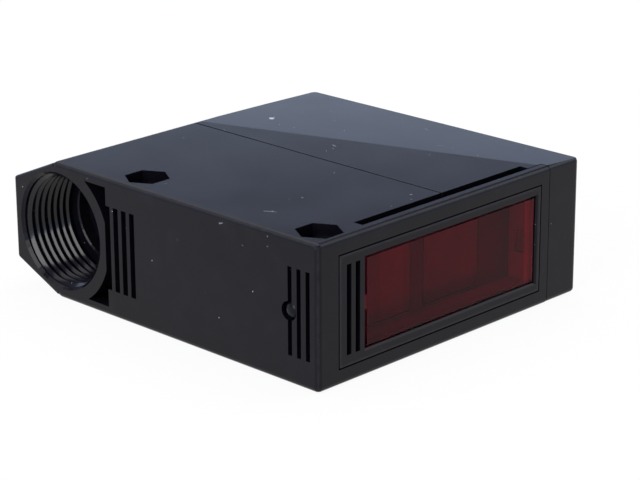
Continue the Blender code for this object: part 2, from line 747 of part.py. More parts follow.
def make_lid(plastic):
    """The cap over the terminal compartment, notched round the front bezel."""
    lid = envelope("lid", LID_SETBACK)
    group = helpers("lid_cuts")
    width = (-PAST, THICKNESS + PAST)
    below = -PAST
    box("under_lid", behind(-PAST, BODY_REAR + PAST), heights(below, PARTING_HEIGHT + SEAM), width, group)
    slot_end = SIDE_SLOT_END + SEAM
    box("slot_clearance", behind(-PAST, SLOT_BACK), heights(below, slot_end), width, group)
    bezel = behind(-PAST, BEZEL_DEPTH + SEAM)
    box("bezel_clearance", bezel, heights(below, BEZEL_HEIGHT + SEAM), width, group)
    facet_cutter(group, "facet_high", 1)
    facet_cutter(group, "facet_low", -1)
    inside = behind(LID_SETBACK + LID_WALL, BODY_REAR - LID_WALL)
    room = (LID_WALL, THICKNESS - LID_WALL)
    box("room_under_rib", inside, heights(below, RIB_LOW), room, group)
    box("room_over_rib", inside, heights(RIB_LOW + LID_RIB_HEIGHT, ROOF_INSIDE), room, group)
    at_optics = behind(LID_SETBACK + LID_WALL, RIB_FRONT)
    box("room_at_optics", at_optics, heights(below, ROOF_INSIDE), room, group)
    rib = LID_WALL + LID_RIB
    within = behind(RIB_FRONT - PAST, BODY_REAR - rib)
    box("room_in_rib", within, heights(below, ROOF_INSIDE - PAST), (rib, THICKNESS - rib), group)
    at = (x_at(SCREW_BACK), y_at(ROOF_INSIDE - PAST), MIDDLE)
    cylinder("lid_screw_hole", SCREW_RADIUS + GAP, LID_ROOF + 2 * PAST, at, (0, 1, 0), group)
    seat = HEIGHT - SCREW_HEAD_HEIGHT - SMALL_RADIUS
    at = (x_at(SCREW_BACK), y_at(seat), MIDDLE)
    cylinder("lid_screw_seat", SCREW_HEAD_RADIUS + GAP, LID_ROOF + PAST, at, (0, 1, 0), group)
    combine(lid, "DIFFERENCE", group)
    lid.data.materials.append(plastic)


def make_lid_screw(steel):
    """A pan-head screw with a cross recess, sunk in the lid."""
    top = SCREW_HEAD_HEIGHT - GAP
    profile = [
        (0, top),
        (SCREW_HEAD_RADIUS * 0.6, top),
        (SCREW_HEAD_RADIUS, top * 0.6),
        (SCREW_HEAD_RADIUS, 0),
        (SCREW_RADIUS, 0),
        (SCREW_RADIUS, -SCREW_LENGTH + SCREW_RADIUS / 2),
        (SCREW_RADIUS / 2, -SCREW_LENGTH),
        (0, -SCREW_LENGTH),
    ]
    seat = HEIGHT - SCREW_HEAD_HEIGHT - SMALL_RADIUS + GAP
    screw = turned("lid_screw", profile, (x_at(SCREW_BACK), y_at(seat), MIDDLE), (0, 1, 0))
    group = helpers("lid_screw_cuts")
    deep = heights(seat + top - SCREW_SLOT_DEPTH, seat + top + PAST)
    long = SCREW_HEAD_RADIUS
    thin = SCREW_SLOT_WIDTH
    for name, x_long, z_long in (("recess_x", long, thin), ("recess_z", thin, long)):
        x = (x_at(SCREW_BACK) - x_long / 2, x_at(SCREW_BACK) + x_long / 2)
        box(name, x, deep, across(z_long), group)
    combine(screw, "DIFFERENCE", group)
    smooth(screw)
    screw.data.materials.append(steel)


def make_gasket(rubber):
    """A sealing strip on three sides of the tongue, pressed by the rib inside the lid."""
    low = GASKET_LOW
    outer = (TONGUE_SIDE, THICKNESS - TONGUE_SIDE)
    span = behind(RIB_FRONT, BODY_REAR - TONGUE_SIDE)
    gasket = box("lid_gasket", span, heights(low, low + TONGUE_WALL), outer)
    group = helpers("lid_gasket_cuts")
    inner = behind(RIB_FRONT - PAST, CAVITY_REAR)
    hole = (CAVITY_SIDE, THICKNESS - CAVITY_SIDE)
    box("gasket_hole", inner, heights(low - PAST, low + TONGUE_WALL + PAST), hole, group)
    combine(gasket, "DIFFERENCE", group)
    gasket.data.materials.append(rubber)


def make_front_panel(plastic):
    """The plate let into the bezel, with two slots and the opening of the window."""
    panel = box(
        "front_panel",
        behind(0, PANEL_THICKNESS),
        heights(PANEL_START, PANEL_START + PANEL_LENGTH),
        across(PANEL_WIDTH),
    )
    group = helpers("front_panel_cuts")
    deep = behind(-PAST, PANEL_THICKNESS + PAST)
    box("window_opening", deep, heights(OPENING_START, OPENING_END), across(OPENING_WIDTH), group)
    reach = 2 * OPENING_CHAMFER
    narrow = heights(OPENING_START + OPENING_CHAMFER, OPENING_END - OPENING_CHAMFER)
    across_it = across(OPENING_WIDTH - reach)
    flare("opening_chamfer", behind(-PAST, reach), narrow, across_it, reach + PAST, group)
    for n in range(PANEL_SLOTS):
        middle = PANEL_START + PANEL_SLOT_INSET + n * PANEL_SLOT_PITCH
        span = heights(middle - PANEL_SLOT_WIDTH / 2, middle + PANEL_SLOT_WIDTH / 2)
        box(f"panel_slot_{n + 1}", deep, span, across(PANEL_SLOT_LENGTH), group)
    combine(panel, "DIFFERENCE", group)
    panel.data.materials.append(plastic)


def make_window(red):
    """The red filter plate, with a tab at its lower end and a hook behind its upper end."""
    depth = behind(WINDOW_RECESS, WINDOW_RECESS + WINDOW_THICKNESS)
    start = OPENING_START + WINDOW_END_GAP
    low, high = across(OPENING_WIDTH - 2 * GAP)
    tab_low, tab_high = across(WINDOW_TAB_WIDTH)
    end = OPENING_END - GAP
    tab = OPENING_START + GAP / 2
    outline = [
        (y_at(start), low),
        (y_at(end), low),
        (y_at(end), high),
        (y_at(start), high),
        (y_at(start), tab_high),
        (y_at(tab), tab_high),
        (y_at(tab), tab_low),
        (y_at(start), tab_low),
    ]
    window = prism("window", outline, *depth, "X")
    group = helpers("window_hook")
    back = WINDOW_RECESS + WINDOW_THICKNESS
    box(
        "end_hook",
        behind(back - WINDOW_THICKNESS / 2, back + HOOK_DEPTH),
        heights(TUNNEL_END - GAP - HOOK_HEIGHT, TUNNEL_END - GAP),
        across(HOOK_WIDTH),
        group,
    )
    combine(window, "UNION", group)
    window.data.materials.append(red)


def make_lens_holder(plastic):
    """The carrier with a light tube behind each lens, and a divider between them."""
    holder = box(
        "lens_holder",
        behind(HOLDER_FRONT, HOLDER_BACK),
        heights(HOLDER_LOW, HOLDER_TOP),
        (HOLDER_SIDE, THICKNESS - HOLDER_SIDE),
    )
    group = helpers("lens_holder_cuts")
    film = FILM_THICKNESS + GAP
    seat = film + LENS_SEAT
    bore = HOLDER_DEPTH - LED_BORE_DEPTH
    pocket = LENS_RADIUS + GAP
    tube = LENS_RADIUS - GAP * 2
    profile = [
        (0, PAST),
        (pocket, PAST),
        (pocket, -seat),
        (tube, -seat),
        (LIGHT_TUBE_REAR, -bore),
        (LIGHT_TUBE_REAR, -HOLDER_DEPTH - PAST),
        (0, -HOLDER_DEPTH - PAST),
    ]
    for name, height in (("emitter", EMITTER_HEIGHT), ("receiver", RECEIVER_HEIGHT)):
        half = FILM_SIDE / 2 + GAP
        recess = behind(HOLDER_FRONT - PAST, HOLDER_FRONT + film)
        box(f"{name}_film_seat", recess, heights(height - half, height + half), across(2 * half), group)
        at = (x_at(HOLDER_FRONT), y_at(height), MIDDLE)
        turned(f"{name}_light_tube", profile, at, (1, 0, 0), group)
    combine(holder, "DIFFERENCE", group)
    holder.data.materials.append(plastic)


def make_lenses(clear, grey):
    """Two lenses and the polarising film in front of each."""
    edge = 0
    back = -LENS_EDGE
    crown = [
        (LENS_RADIUS * math.sin(a), edge + LENS_CROWN * (math.cos(a) - math.cos(math.pi / 2)))
        for a in (math.pi / 2 * n / 6 for n in range(7))
    ]
    profile = crown + [(LENS_RADIUS, back), (0, back)]
    seat = FILM_THICKNESS + GAP + LENS_SEAT
    for name, height in (("emitter", EMITTER_HEIGHT), ("receiver", RECEIVER_HEIGHT)):
        base = x_at(HOLDER_FRONT + seat - GAP - LENS_EDGE)
        lens = turned(f"{name}_lens", profile, (base, y_at(height), MIDDLE), (1, 0, 0))
        smooth(lens)
        lens.data.materials.append(clear)
        film = box(
            f"{name}_polariser",
            behind(HOLDER_FRONT, HOLDER_FRONT + FILM_THICKNESS),
            heights(height - FILM_SIDE / 2, height + FILM_SIDE / 2),
            across(FILM_SIDE),
        )
        film.data.materials.append(grey)


def make_optics_board(laminate, red, black, green):
    """The upright board behind the lenses, with the emitter, the receiver and the status light."""
    board = box(
        "optics_board",
        behind(OPTICS_BOARD_FRONT, OPTICS_BOARD_BACK),
        heights(BASE_WALL + GAP, HOLDER_TOP),
        (HOLDER_SIDE, THICKNESS - HOLDER_SIDE),
    )
    board.data.materials.append(laminate)
    base = x_at(HOLDER_BACK)
    dome = [
        (LED_RADIUS * math.sin(a), LED_LENGTH - LED_RADIUS + LED_RADIUS * math.cos(a))
        for a in (math.pi / 2 * n / 5 for n in range(6))
    ]
    flange = LED_RADIUS + LED_FLANGE
    profile = dome + [
        (LED_RADIUS, LED_FLANGE_THICKNESS),
        (flange, LED_FLANGE_THICKNESS),
        (flange, 0),
        (0, 0),
    ]
    led = turned("emitter_led", profile, (base, y_at(EMITTER_HEIGHT), MIDDLE), (1, 0, 0))
    smooth(led)
    led.data.materials.append(red)
    diode = box(
        "receiver_photodiode",
        behind(HOLDER_BACK - DIODE_THICKNESS, HOLDER_BACK),
        heights(RECEIVER_HEIGHT - DIODE_SIDE / 2, RECEIVER_HEIGHT + DIODE_SIDE / 2),
        across(DIODE_SIDE),
    )
    diode.data.materials.append(black)
    light = box(
        "indicator_led",
        behind(HOLDER_BACK - INDICATOR_DEPTH, HOLDER_BACK),
        heights(BASE_WALL + GAP, BASE_WALL + GAP + INDICATOR_HEIGHT),
        across(GUIDE_WIDTH),
    )
    light.data.materials.append(green)


def make_status_light(smoked, clear):
    """The domed light in the base, and the bent guide from the light on the board."""
    dome = [
        (STATUS_RADIUS * math.sin(a), -STATUS_RECESS - STATUS_DOME * (1 - math.cos(a)))
        for a in (math.pi / 2 * n / DOME_STEPS for n in range(DOME_STEPS + 1))
    ]
    profile = dome + [(STATUS_RADIUS, -STATUS_LENGTH), (0, -STATUS_LENGTH)]
    light = turned("status_light", profile, (x_at(STATUS_BACK), y_at(0), MIDDLE), (0, -1, 0))
    smooth(light)
    light.data.materials.append(smoked)
    start = STATUS_BACK + STATUS_RADIUS + GAP
    arm_high = GUIDE_LOW + GUIDE_THICKNESS
    riser_end = GUIDE_RISER_BACK + GUIDE_THICKNESS
    run_low = BASE_WALL + GAP
    end = HOLDER_BACK - INDICATOR_DEPTH - GAP
    outline = [
        (start, GUIDE_LOW),
        (riser_end, GUIDE_LOW),
        (riser_end, run_low),
        (end, run_low),
        (end, run_low + GUIDE_THICKNESS),
        (GUIDE_RISER_BACK, run_low + GUIDE_THICKNESS),
        (GUIDE_RISER_BACK, arm_high),
        (start, arm_high),
    ]
    points = [(x_at(back), y_at(height)) for back, height in outline]
    guide = prism("light_guide", points, *across(GUIDE_WIDTH), "Z")
    guide.data.materials.append(clear)


def make_main_board(laminate):
    """The board that lies along one broad side of the terminal compartment."""
    board = box(
        "main_board",
        behind(MAIN_BOARD_FRONT, MAIN_BOARD_REAR),
        heights(MAIN_BOARD_LOW, MAIN_BOARD_TOP),
        (MAIN_BOARD_SIDE, MAIN_BOARD_SIDE + BOARD_THICKNESS),
    )
    board.data.materials.append(laminate)


def make_relay(plastic, aluminium):
    """The output relay and the smoothing capacitor."""
    relay = box(
        "relay",
        behind(RELAY_FRONT, RELAY_REAR),
        heights(RELAY_LOW, RELAY_TOP),
        (ON_MAIN_BOARD, ON_MAIN_BOARD + RELAY_HEIGHT),
    )
    soften(relay, SMALL_RADIUS, 2)
    relay.data.materials.append(plastic)
    top = CAPACITOR_HEIGHT
    crimp = CAPACITOR_RADIUS - CAPACITOR_CRIMP
    profile = [
        (0, top),
        (crimp, top),
        (CAPACITOR_RADIUS, top - CAPACITOR_CRIMP),
        (CAPACITOR_RADIUS, CAPACITOR_CRIMP * 5),
        (crimp, CAPACITOR_CRIMP * 4),
        (crimp, CAPACITOR_CRIMP * 3),
        (CAPACITOR_RADIUS, CAPACITOR_CRIMP * 2),
        (CAPACITOR_RADIUS, 0),
        (0, 0),
    ]
    foot = (x_at(CAPACITOR_BACK), y_at(RELAY_TOP - CAPACITOR_RADIUS), ON_MAIN_BOARD)
    capacitor = turned("capacitor", profile, foot, (0, 0, 1))
    smooth(capacitor)
    capacitor.data.materials.append(aluminium)


def make_terminals(plastic, steel):
    """The terminal block, with a screw from above and a wire entry from below for each terminal."""
    block = box(
        "terminal_block",
        behind(TERMINAL_FRONT, TERMINAL_FRONT + TERMINALS * TERMINAL_PITCH),
        heights(TERMINAL_LOW, TERMINAL_TOP),
        (ON_MAIN_BOARD, ON_MAIN_BOARD + TERMINAL_DEPTH),
    )
    group = helpers("terminal_block_cuts")
    middle = ON_MAIN_BOARD + TERMINAL_DEPTH / 2
    seat = TERMINAL_TOP - TERMINAL_WELL_DEPTH
    thin = TERMINAL_SHANK_RADIUS
    head = TERMINAL_HEAD_RADIUS
    profile = [
        (0, TERMINAL_HEAD_HEIGHT),
        (head * 0.8, TERMINAL_HEAD_HEIGHT),
        (head, TERMINAL_HEAD_HEIGHT * 0.7),
        (head, 0),
        (thin, 0),
        (thin, -TERMINAL_SHANK_LENGTH),
        (0, -TERMINAL_SHANK_LENGTH),
    ]
    for n in range(TERMINALS):
        back = TERMINAL_FRONT + (n + 0.5) * TERMINAL_PITCH
        x = x_at(back)
        well = (x, y_at(seat), middle)
        depth = TERMINAL_WELL_DEPTH + PAST
        cylinder(f"well_{n + 1}", TERMINAL_WELL_RADIUS, depth, well, (0, 1, 0), group)
        shank = (x, y_at(seat - TERMINAL_SHANK_LENGTH), middle)
        deep = TERMINAL_SHANK_LENGTH + PAST
        cylinder(f"shank_hole_{n + 1}", thin + GAP, deep, shank, (0, 1, 0), group)
        box(
            f"wire_entry_{n + 1}",
            behind(back - WIRE_ENTRY / 2, back + WIRE_ENTRY / 2),
            heights(TERMINAL_LOW - PAST, TERMINAL_LOW + WIRE_ENTRY_DEPTH),
            (middle - WIRE_ENTRY / 2, middle + WIRE_ENTRY / 2),
            group,
        )
        at = (x, y_at(seat + GAP), middle)
        screw = turned(f"terminal_screw_{n + 1}", profile, at, (0, 1, 0))
        cross = helpers(f"terminal_screw_cuts_{n + 1}")
        face = seat + GAP + TERMINAL_HEAD_HEIGHT
        groove = heights(face - SCREW_SLOT_DEPTH, face + PAST)
        wide = (x - SCREW_SLOT_WIDTH / 2, x + SCREW_SLOT_WIDTH / 2)
        box(f"screw_slot_{n + 1}", wide, groove, (middle - 2 * head, middle + 2 * head), cross)
        combine(screw, "DIFFERENCE", cross)
        smooth(screw)
        screw.data.materials.append(steel)
    combine(block, "DIFFERENCE", group)
    block.data.materials.append(plastic)


def make_control_board(laminate):
    """The small board over the optics that carries the controls."""
    board = box(
        "control_board",
        behind(CONTROL_BOARD_FRONT, CONTROL_BOARD_FRONT + CONTROL_BOARD_LENGTH),
        heights(CONTROL_BOARD_LOW, CONTROL_BOARD_LOW + BOARD_THICKNESS),
        across(CONTROL_BOARD_WIDTH),
    )
    board.data.materials.append(laminate)


def make_trimmer(blue, white):
    """The sensitivity trimmer, with its rotor in a round seat."""
    x = x_at(CONTROLS_BACK)
    z = MIDDLE - TRIMMER_OFFSET
    half = TRIMMER_SIDE / 2
    top = ON_CONTROL_BOARD + TRIMMER_HEIGHT
    body = heights(ON_CONTROL_BOARD, top)
    base = box("sensitivity_trimmer", (x - half, x + half), body, (z - half, z + half))
    group = helpers("trimmer_cuts")
    seat = (x, y_at(top - ROTOR_SEAT), z)
    cylinder("rotor_seat", ROTOR_RADIUS + GAP, ROTOR_SEAT + PAST, seat, (0, 1, 0), group)
    combine(base, "DIFFERENCE", group)
    base.data.materials.append(blue)
    profile = [(0, ROTOR_HEIGHT), (ROTOR_RADIUS, ROTOR_HEIGHT), (ROTOR_RADIUS, 0), (0, 0)]
    low = top - ROTOR_SEAT + GAP
    rotor = turned("sensitivity_rotor", profile, (x, y_at(low), z), (0, 1, 0))
    cuts = helpers("rotor_cuts")
    face = heights(low + ROTOR_HEIGHT - ROTOR_SLOT_DEPTH, low + ROTOR_HEIGHT + PAST)
    slot = ROTOR_SLOT_WIDTH / 2
    arm = ROTOR_RADIUS * 0.75
    box("rotor_slot", (x - arm, x + arm), face, (z - slot, z + slot), cuts)
    box("rotor_cross", (x - slot, x + slot), face, (z - arm, z + arm / 2), cuts)
    combine(rotor, "DIFFERENCE", cuts)
    rotor.data.materials.append(white)


def make_selector(black, white):
    """The light and dark selector: a slide switch, its slider at the front end of its slot."""
    x = x_at(CONTROLS_BACK)
    z = MIDDLE + SELECTOR_OFFSET
    top = ON_CONTROL_BOARD + SELECTOR_HEIGHT
    span = (x - SELECTOR_LENGTH / 2, x + SELECTOR_LENGTH / 2)
    wide = (z - SELECTOR_WIDTH / 2, z + SELECTOR_WIDTH / 2)
    base = box("mode_selector", span, heights(ON_CONTROL_BOARD, top), wide)
    group = helpers("selector_cuts")
    reach = (SLIDER_LENGTH + SLIDER_TRAVEL) / 2 + GAP
    slot = (z - SLIDER_WIDTH / 2 - GAP, z + SLIDER_WIDTH / 2 + GAP)
    box("slider_slot", (x - reach, x + reach), heights(top - SLIDER_SEAT, top + PAST), slot, group)
    combine(base, "DIFFERENCE", group)
    base.data.materials.append(black)
    front = x + reach - GAP
    low = top - SLIDER_SEAT + GAP
    slider = box(
        "mode_slider",
        (front - SLIDER_LENGTH, front),
        heights(low, low + SLIDER_HEIGHT),
        (z - SLIDER_WIDTH / 2, z + SLIDER_WIDTH / 2),
    )
    slider.data.materials.append(white)


def main():
    clear_scene()
    black_abs = finish_of("black_abs", (0.030, 0.031, 0.037), 0.55)
    window_red = finish_of("window_red", (0.32, 0.01, 0.02), 0.12, transmission=0.6)
    inner_black = finish_of("inner_black", (0.02, 0.02, 0.022), 0.7)
    clear_acrylic = finish_of("clear_acrylic", (0.9, 0.92, 0.93), 0.05, transmission=0.9)
    grey_film = finish_of("grey_film", (0.18, 0.19, 0.2), 0.2, transmission=0.4)
    smoked_acrylic = finish_of("smoked_acrylic", (0.04, 0.04, 0.045), 0.08)
    rubber = finish_of("seal_rubber", (0.03, 0.03, 0.03), 0.85)
    steel = finish_of("zinc_steel", (0.62, 0.62, 0.6), 0.35, metallic=1.0)
    laminate = finish_of("board_laminate", (0.05, 0.22, 0.10), 0.45)
    red_led = finish_of("red_led", (0.55, 0.03, 0.03), 0.15, transmission=0.5)
    green_led = finish_of("green_led", (0.1, 0.5, 0.15), 0.2)
    grey_plastic = finish_of("grey_plastic", (0.35, 0.36, 0.37), 0.5)
    aluminium = finish_of("aluminium_can", (0.75, 0.76, 0.78), 0.3, metallic=1.0)
    trimmer_blue = finish_of("trimmer_blue", (0.05, 0.15, 0.45), 0.45)
    white_nylon = finish_of("white_nylon", (0.8, 0.8, 0.78), 0.5)
    make_housing(black_abs)
    make_lid(black_abs)
    make_lid_screw(steel)
    make_gasket(rubber)
    make_front_panel(black_abs)
    make_window(window_red)
    make_lens_holder(inner_black)
    make_lenses(clear_acrylic, grey_film)
    make_optics_board(laminate, red_led, inner_black, green_led)
    make_status_light(smoked_acrylic, clear_acrylic)
    make_main_board(laminate)
    make_relay(inner_black, aluminium)
    make_terminals(grey_plastic, steel)
    make_control_board(laminate)
    make_trimmer(trimmer_blue, white_nylon)
    make_selector(inner_black, white_nylon)


main()
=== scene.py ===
"""Looks of a slim black photoelectric sensor with a red front window, lying on one broad side.

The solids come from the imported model. This script gives every one of them its finish, adds the thread of
the conduit inlet and the liner behind the window, and sets up the floor, the light and the camera.
"""

import logging
import math
from dataclasses import dataclass, field
from enum import Enum

import bpy
from mathutils import Matrix, Vector


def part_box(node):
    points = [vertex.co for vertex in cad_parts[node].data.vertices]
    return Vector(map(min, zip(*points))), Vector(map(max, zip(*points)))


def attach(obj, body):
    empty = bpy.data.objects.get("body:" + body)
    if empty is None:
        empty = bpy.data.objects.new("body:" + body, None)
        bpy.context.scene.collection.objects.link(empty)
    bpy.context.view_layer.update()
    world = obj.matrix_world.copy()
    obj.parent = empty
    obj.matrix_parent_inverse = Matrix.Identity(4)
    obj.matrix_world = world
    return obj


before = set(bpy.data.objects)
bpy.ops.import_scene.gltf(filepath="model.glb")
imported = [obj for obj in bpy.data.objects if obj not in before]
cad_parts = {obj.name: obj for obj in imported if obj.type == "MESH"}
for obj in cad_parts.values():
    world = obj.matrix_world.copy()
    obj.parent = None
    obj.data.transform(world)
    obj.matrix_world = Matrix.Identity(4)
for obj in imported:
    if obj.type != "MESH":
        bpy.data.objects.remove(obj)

MM = 0.001
TOUCH = 0.01 * MM
MERGE = 0.002 * MM
REPORT = logging.getLogger("sensor")

Colour = tuple[float, float, float]
Point = tuple[float, float, float]
Socket = bpy.types.NodeSocket
Input = float | tuple | Vector | Socket


class Maths(Enum):
    """Math operations used in the finishes."""

    ADD = "ADD"
    TAKE = "SUBTRACT"
    TIMES = "MULTIPLY"
    OVER = "DIVIDE"
    LEAST = "MINIMUM"
    MOST = "MAXIMUM"
    BELOW = "LESS_THAN"
    ABOVE = "GREATER_THAN"
    SIZE = "ABSOLUTE"
    POWER = "POWER"


class Graph:
    """Adds nodes to one shader tree and joins them."""

    def __init__(self, tree: bpy.types.ShaderNodeTree) -> None:
        """Keeps the tree that nodes are added to."""
        self.tree = tree

    def add(self, kind: str, **settings: object) -> bpy.types.Node:
        """Adds a node and sets its properties.

        Args:
            kind: Blender's name of the node type.
            settings: properties of the node, such as operation.

        Returns:
            The new node.
        """
        node = self.tree.nodes.new(kind)
        for name, value in settings.items():
            setattr(node, name, value)
        return node

    def feed(self, socket: Socket, value: Input) -> None:
        """Links the value to the socket if it is a socket itself, or sets it there.

        Args:
            socket: the input socket of a node.
            value: what goes into it.
        """
        if isinstance(value, Socket):
            self.tree.links.new(value, socket)
        else:
            socket.default_value = value

    def math(self, what: Maths, first: Input, second: Input = 0.0, clamp: bool = False) -> Socket:
        """A Math node.

        Args:
            what: the operation.
            first: the first number.
            second: the second number.
            clamp: whether the result is kept between 0 and 1.

        Returns:
            The result's socket.
        """
        node = self.add("ShaderNodeMath", operation=what.value, use_clamp=clamp)
        self.feed(node.inputs[0], first)
        self.feed(node.inputs[1], second)
        return node.outputs[0]

    def ramp(
        self, value: Input, low: float, high: float, to_low: float = 0.0, to_high: float = 1.0
    ) -> Socket:
        """A Map Range node with smooth ends.

        Args:
            value: the number that is mapped.
            low: where the result is to_low.
            high: where the result is to_high.
            to_low: the result at and past low.
            to_high: the result at and past high.

        Returns:
            The result's socket.
        """
        node = self.add("ShaderNodeMapRange", interpolation_type="SMOOTHSTEP")
        for socket, number in zip(node.inputs, (value, low, high, to_low, to_high)):
            self.feed(socket, number)
        return node.outputs[0]

    def vary(self, cloud: Input, low: float, high: float) -> Socket:
        """Turns cloudy noise, most of which lies between 0.3 and 0.7, into a number from low to high."""
        return self.ramp(cloud, 0.3, 0.7, low, high)

    def mix(self, amount: Input, first: Input, second: Input) -> Socket:
        """Mixes two colours.

        Args:
            amount: 0 for the first colour, 1 for the second.
            first: the first colour.
            second: the second colour.

        Returns:
            The result's socket.
        """
        node = self.add("ShaderNodeMix", data_type="RGBA")
        self.feed(node.inputs[0], amount)
        self.feed(node.inputs[6], (*first, 1.0) if isinstance(first, tuple) else first)
        self.feed(node.inputs[7], (*second, 1.0) if isinstance(second, tuple) else second)
        return node.outputs[2]

    def noise(self, vector: Socket, scale: Input, detail: float = 3.0) -> Socket:
        """A Noise Texture node.

        Args:
            vector: the coordinates.
            scale: the lumps in a metre.
            detail: how many finer layers are added.

        Returns:
            The socket of the noise, as a number.
        """
        node = self.add("ShaderNodeTexNoise")
        self.feed(node.inputs["Vector"], vector)
        self.feed(node.inputs["Scale"], scale)
        node.inputs["Detail"].default_value = detail
        return node.outputs["Fac"]

    def stretched(self, vector: Socket, scale: Point) -> Socket:
        """A Mapping node that scales the coordinates.

        Args:
            vector: the coordinates.
            scale: the factor along each axis.

        Returns:
            The socket of the new coordinates.
        """
        node = self.add("ShaderNodeMapping")
        self.feed(node.inputs["Vector"], vector)
        node.inputs["Scale"].default_value = scale
        return node.outputs[0]

    def axes(self, vector: Socket) -> bpy.types.NodeOutputs:
        """A Separate XYZ node.

        Args:
            vector: the coordinates.

        Returns:
            The sockets of X, Y and Z, in this order.
        """
        node = self.add("ShaderNodeSeparateXYZ")
        self.feed(node.inputs[0], vector)
        return node.outputs


def new_group(name: str, inputs: dict[str, tuple[str, object]], outputs: dict[str, str]) -> tuple:
    """Makes an empty shader node group with named sockets.

    Args:
        name: the group's name.
        inputs: socket name to its type and default.
        outputs: socket name to its type.

    Returns:
        The group, its Graph, the input node and the output node.
    """
    group = bpy.data.node_groups.new(name, "ShaderNodeTree")
    for label, (kind, default) in inputs.items():
        socket = group.interface.new_socket(label, in_out="INPUT", socket_type=kind)
        if default is not None:
            socket.default_value = default
    for label, kind in outputs.items():
        group.interface.new_socket(label, in_out="OUTPUT", socket_type=kind)
    graph = Graph(group)
    return group, graph, graph.add("NodeGroupInput"), graph.add("NodeGroupOutput")


VECTOR = "NodeSocketVector"
NUMBER = "NodeSocketFloat"


def mould_grain() -> bpy.types.NodeTree:
    """The fine spark-eroded grain of a moulded face, and the faint clouds in its sheen.

    Returns:
        The node group.
    """
    inputs = {"Vector": (VECTOR, None), "Grain": (NUMBER, 3200.0), "Clouds": (NUMBER, 70.0)}
    group, graph, start, end = new_group("mould_grain", inputs, {"Height": NUMBER, "Cloud": NUMBER})
    fine = graph.noise(start.outputs["Vector"], start.outputs["Grain"], detail=2.0)
    broad = graph.noise(start.outputs["Vector"], start.outputs["Clouds"], detail=4.0)
    graph.feed(end.inputs["Height"], fine)
    graph.feed(end.inputs["Cloud"], broad)
    return group


def dust() -> bpy.types.NodeTree:
    """Pale specks of dust that lie about on a surface, and the thin film between them.

    Returns:
        The node group.
    """
    inputs = {
        "Vector": (VECTOR, None),
        "Cells": (NUMBER, 620.0),
        "Amount": (NUMBER, 0.3),
        "Size": (NUMBER, 0.08),
    }
    group, graph, start, end = new_group("dust", inputs, {"Specks": NUMBER, "Film": NUMBER})
    cells = graph.add("ShaderNodeTexVoronoi")
    graph.feed(cells.inputs["Vector"], start.outputs["Vector"])
    graph.feed(cells.inputs["Scale"], start.outputs["Cells"])
    split = graph.add("ShaderNodeSeparateColor")
    graph.feed(split.inputs[0], cells.outputs["Color"])
    near = graph.math(Maths.OVER, cells.outputs["Distance"], start.outputs["Size"])
    dot = graph.ramp(near, low=1.0, high=0.55)
    kept = graph.math(Maths.BELOW, split.outputs[0], start.outputs["Amount"])
    bright = graph.ramp(split.outputs[1], 0.0, 1.0, to_low=0.25, to_high=1.0)
    specks = graph.math(Maths.TIMES, graph.math(Maths.TIMES, dot, kept), bright)
    graph.feed(end.inputs["Specks"], specks)
    film = graph.ramp(graph.noise(start.outputs["Vector"], scale=240.0, detail=5.0), low=0.45, high=0.75)
    graph.feed(end.inputs["Film"], film)
    return group


def edge_wear() -> bpy.types.NodeTree:
    """How near a point of a block is to one of the block's straight edges, from 0 to 1.

    Returns:
        The node group.
    """
    inputs = {
        "Vector": (VECTOR, None),
        "Low": (VECTOR, (0, 0, 0)),
        "High": (VECTOR, (0, 0, 0)),
        "Reach": (NUMBER, 0.0006),
    }
    group, graph, start, end = new_group("edge_wear", inputs, {"Edge": NUMBER})
    vector, low, high, reach = (start.outputs[n] for n in inputs)
    away = []
    for here, bottom, top in zip(graph.axes(vector), graph.axes(low), graph.axes(high)):
        below = graph.math(Maths.SIZE, graph.math(Maths.TAKE, here, bottom))
        above = graph.math(Maths.SIZE, graph.math(Maths.TAKE, top, here))
        away.append(graph.math(Maths.LEAST, below, above))
    first, second, third = away
    lower = graph.math(Maths.LEAST, first, second)
    upper = graph.math(Maths.MOST, first, second)
    middle = graph.math(Maths.MOST, lower, graph.math(Maths.LEAST, upper, third))
    ratio = graph.math(Maths.OVER, middle, reach)
    ragged = graph.math(Maths.TIMES, graph.noise(vector, scale=900.0, detail=4.0), 0.8)
    line = graph.ramp(graph.math(Maths.ADD, ratio, ragged), low=1.4, high=0.5)
    graph.feed(end.inputs["Edge"], line)
    return group


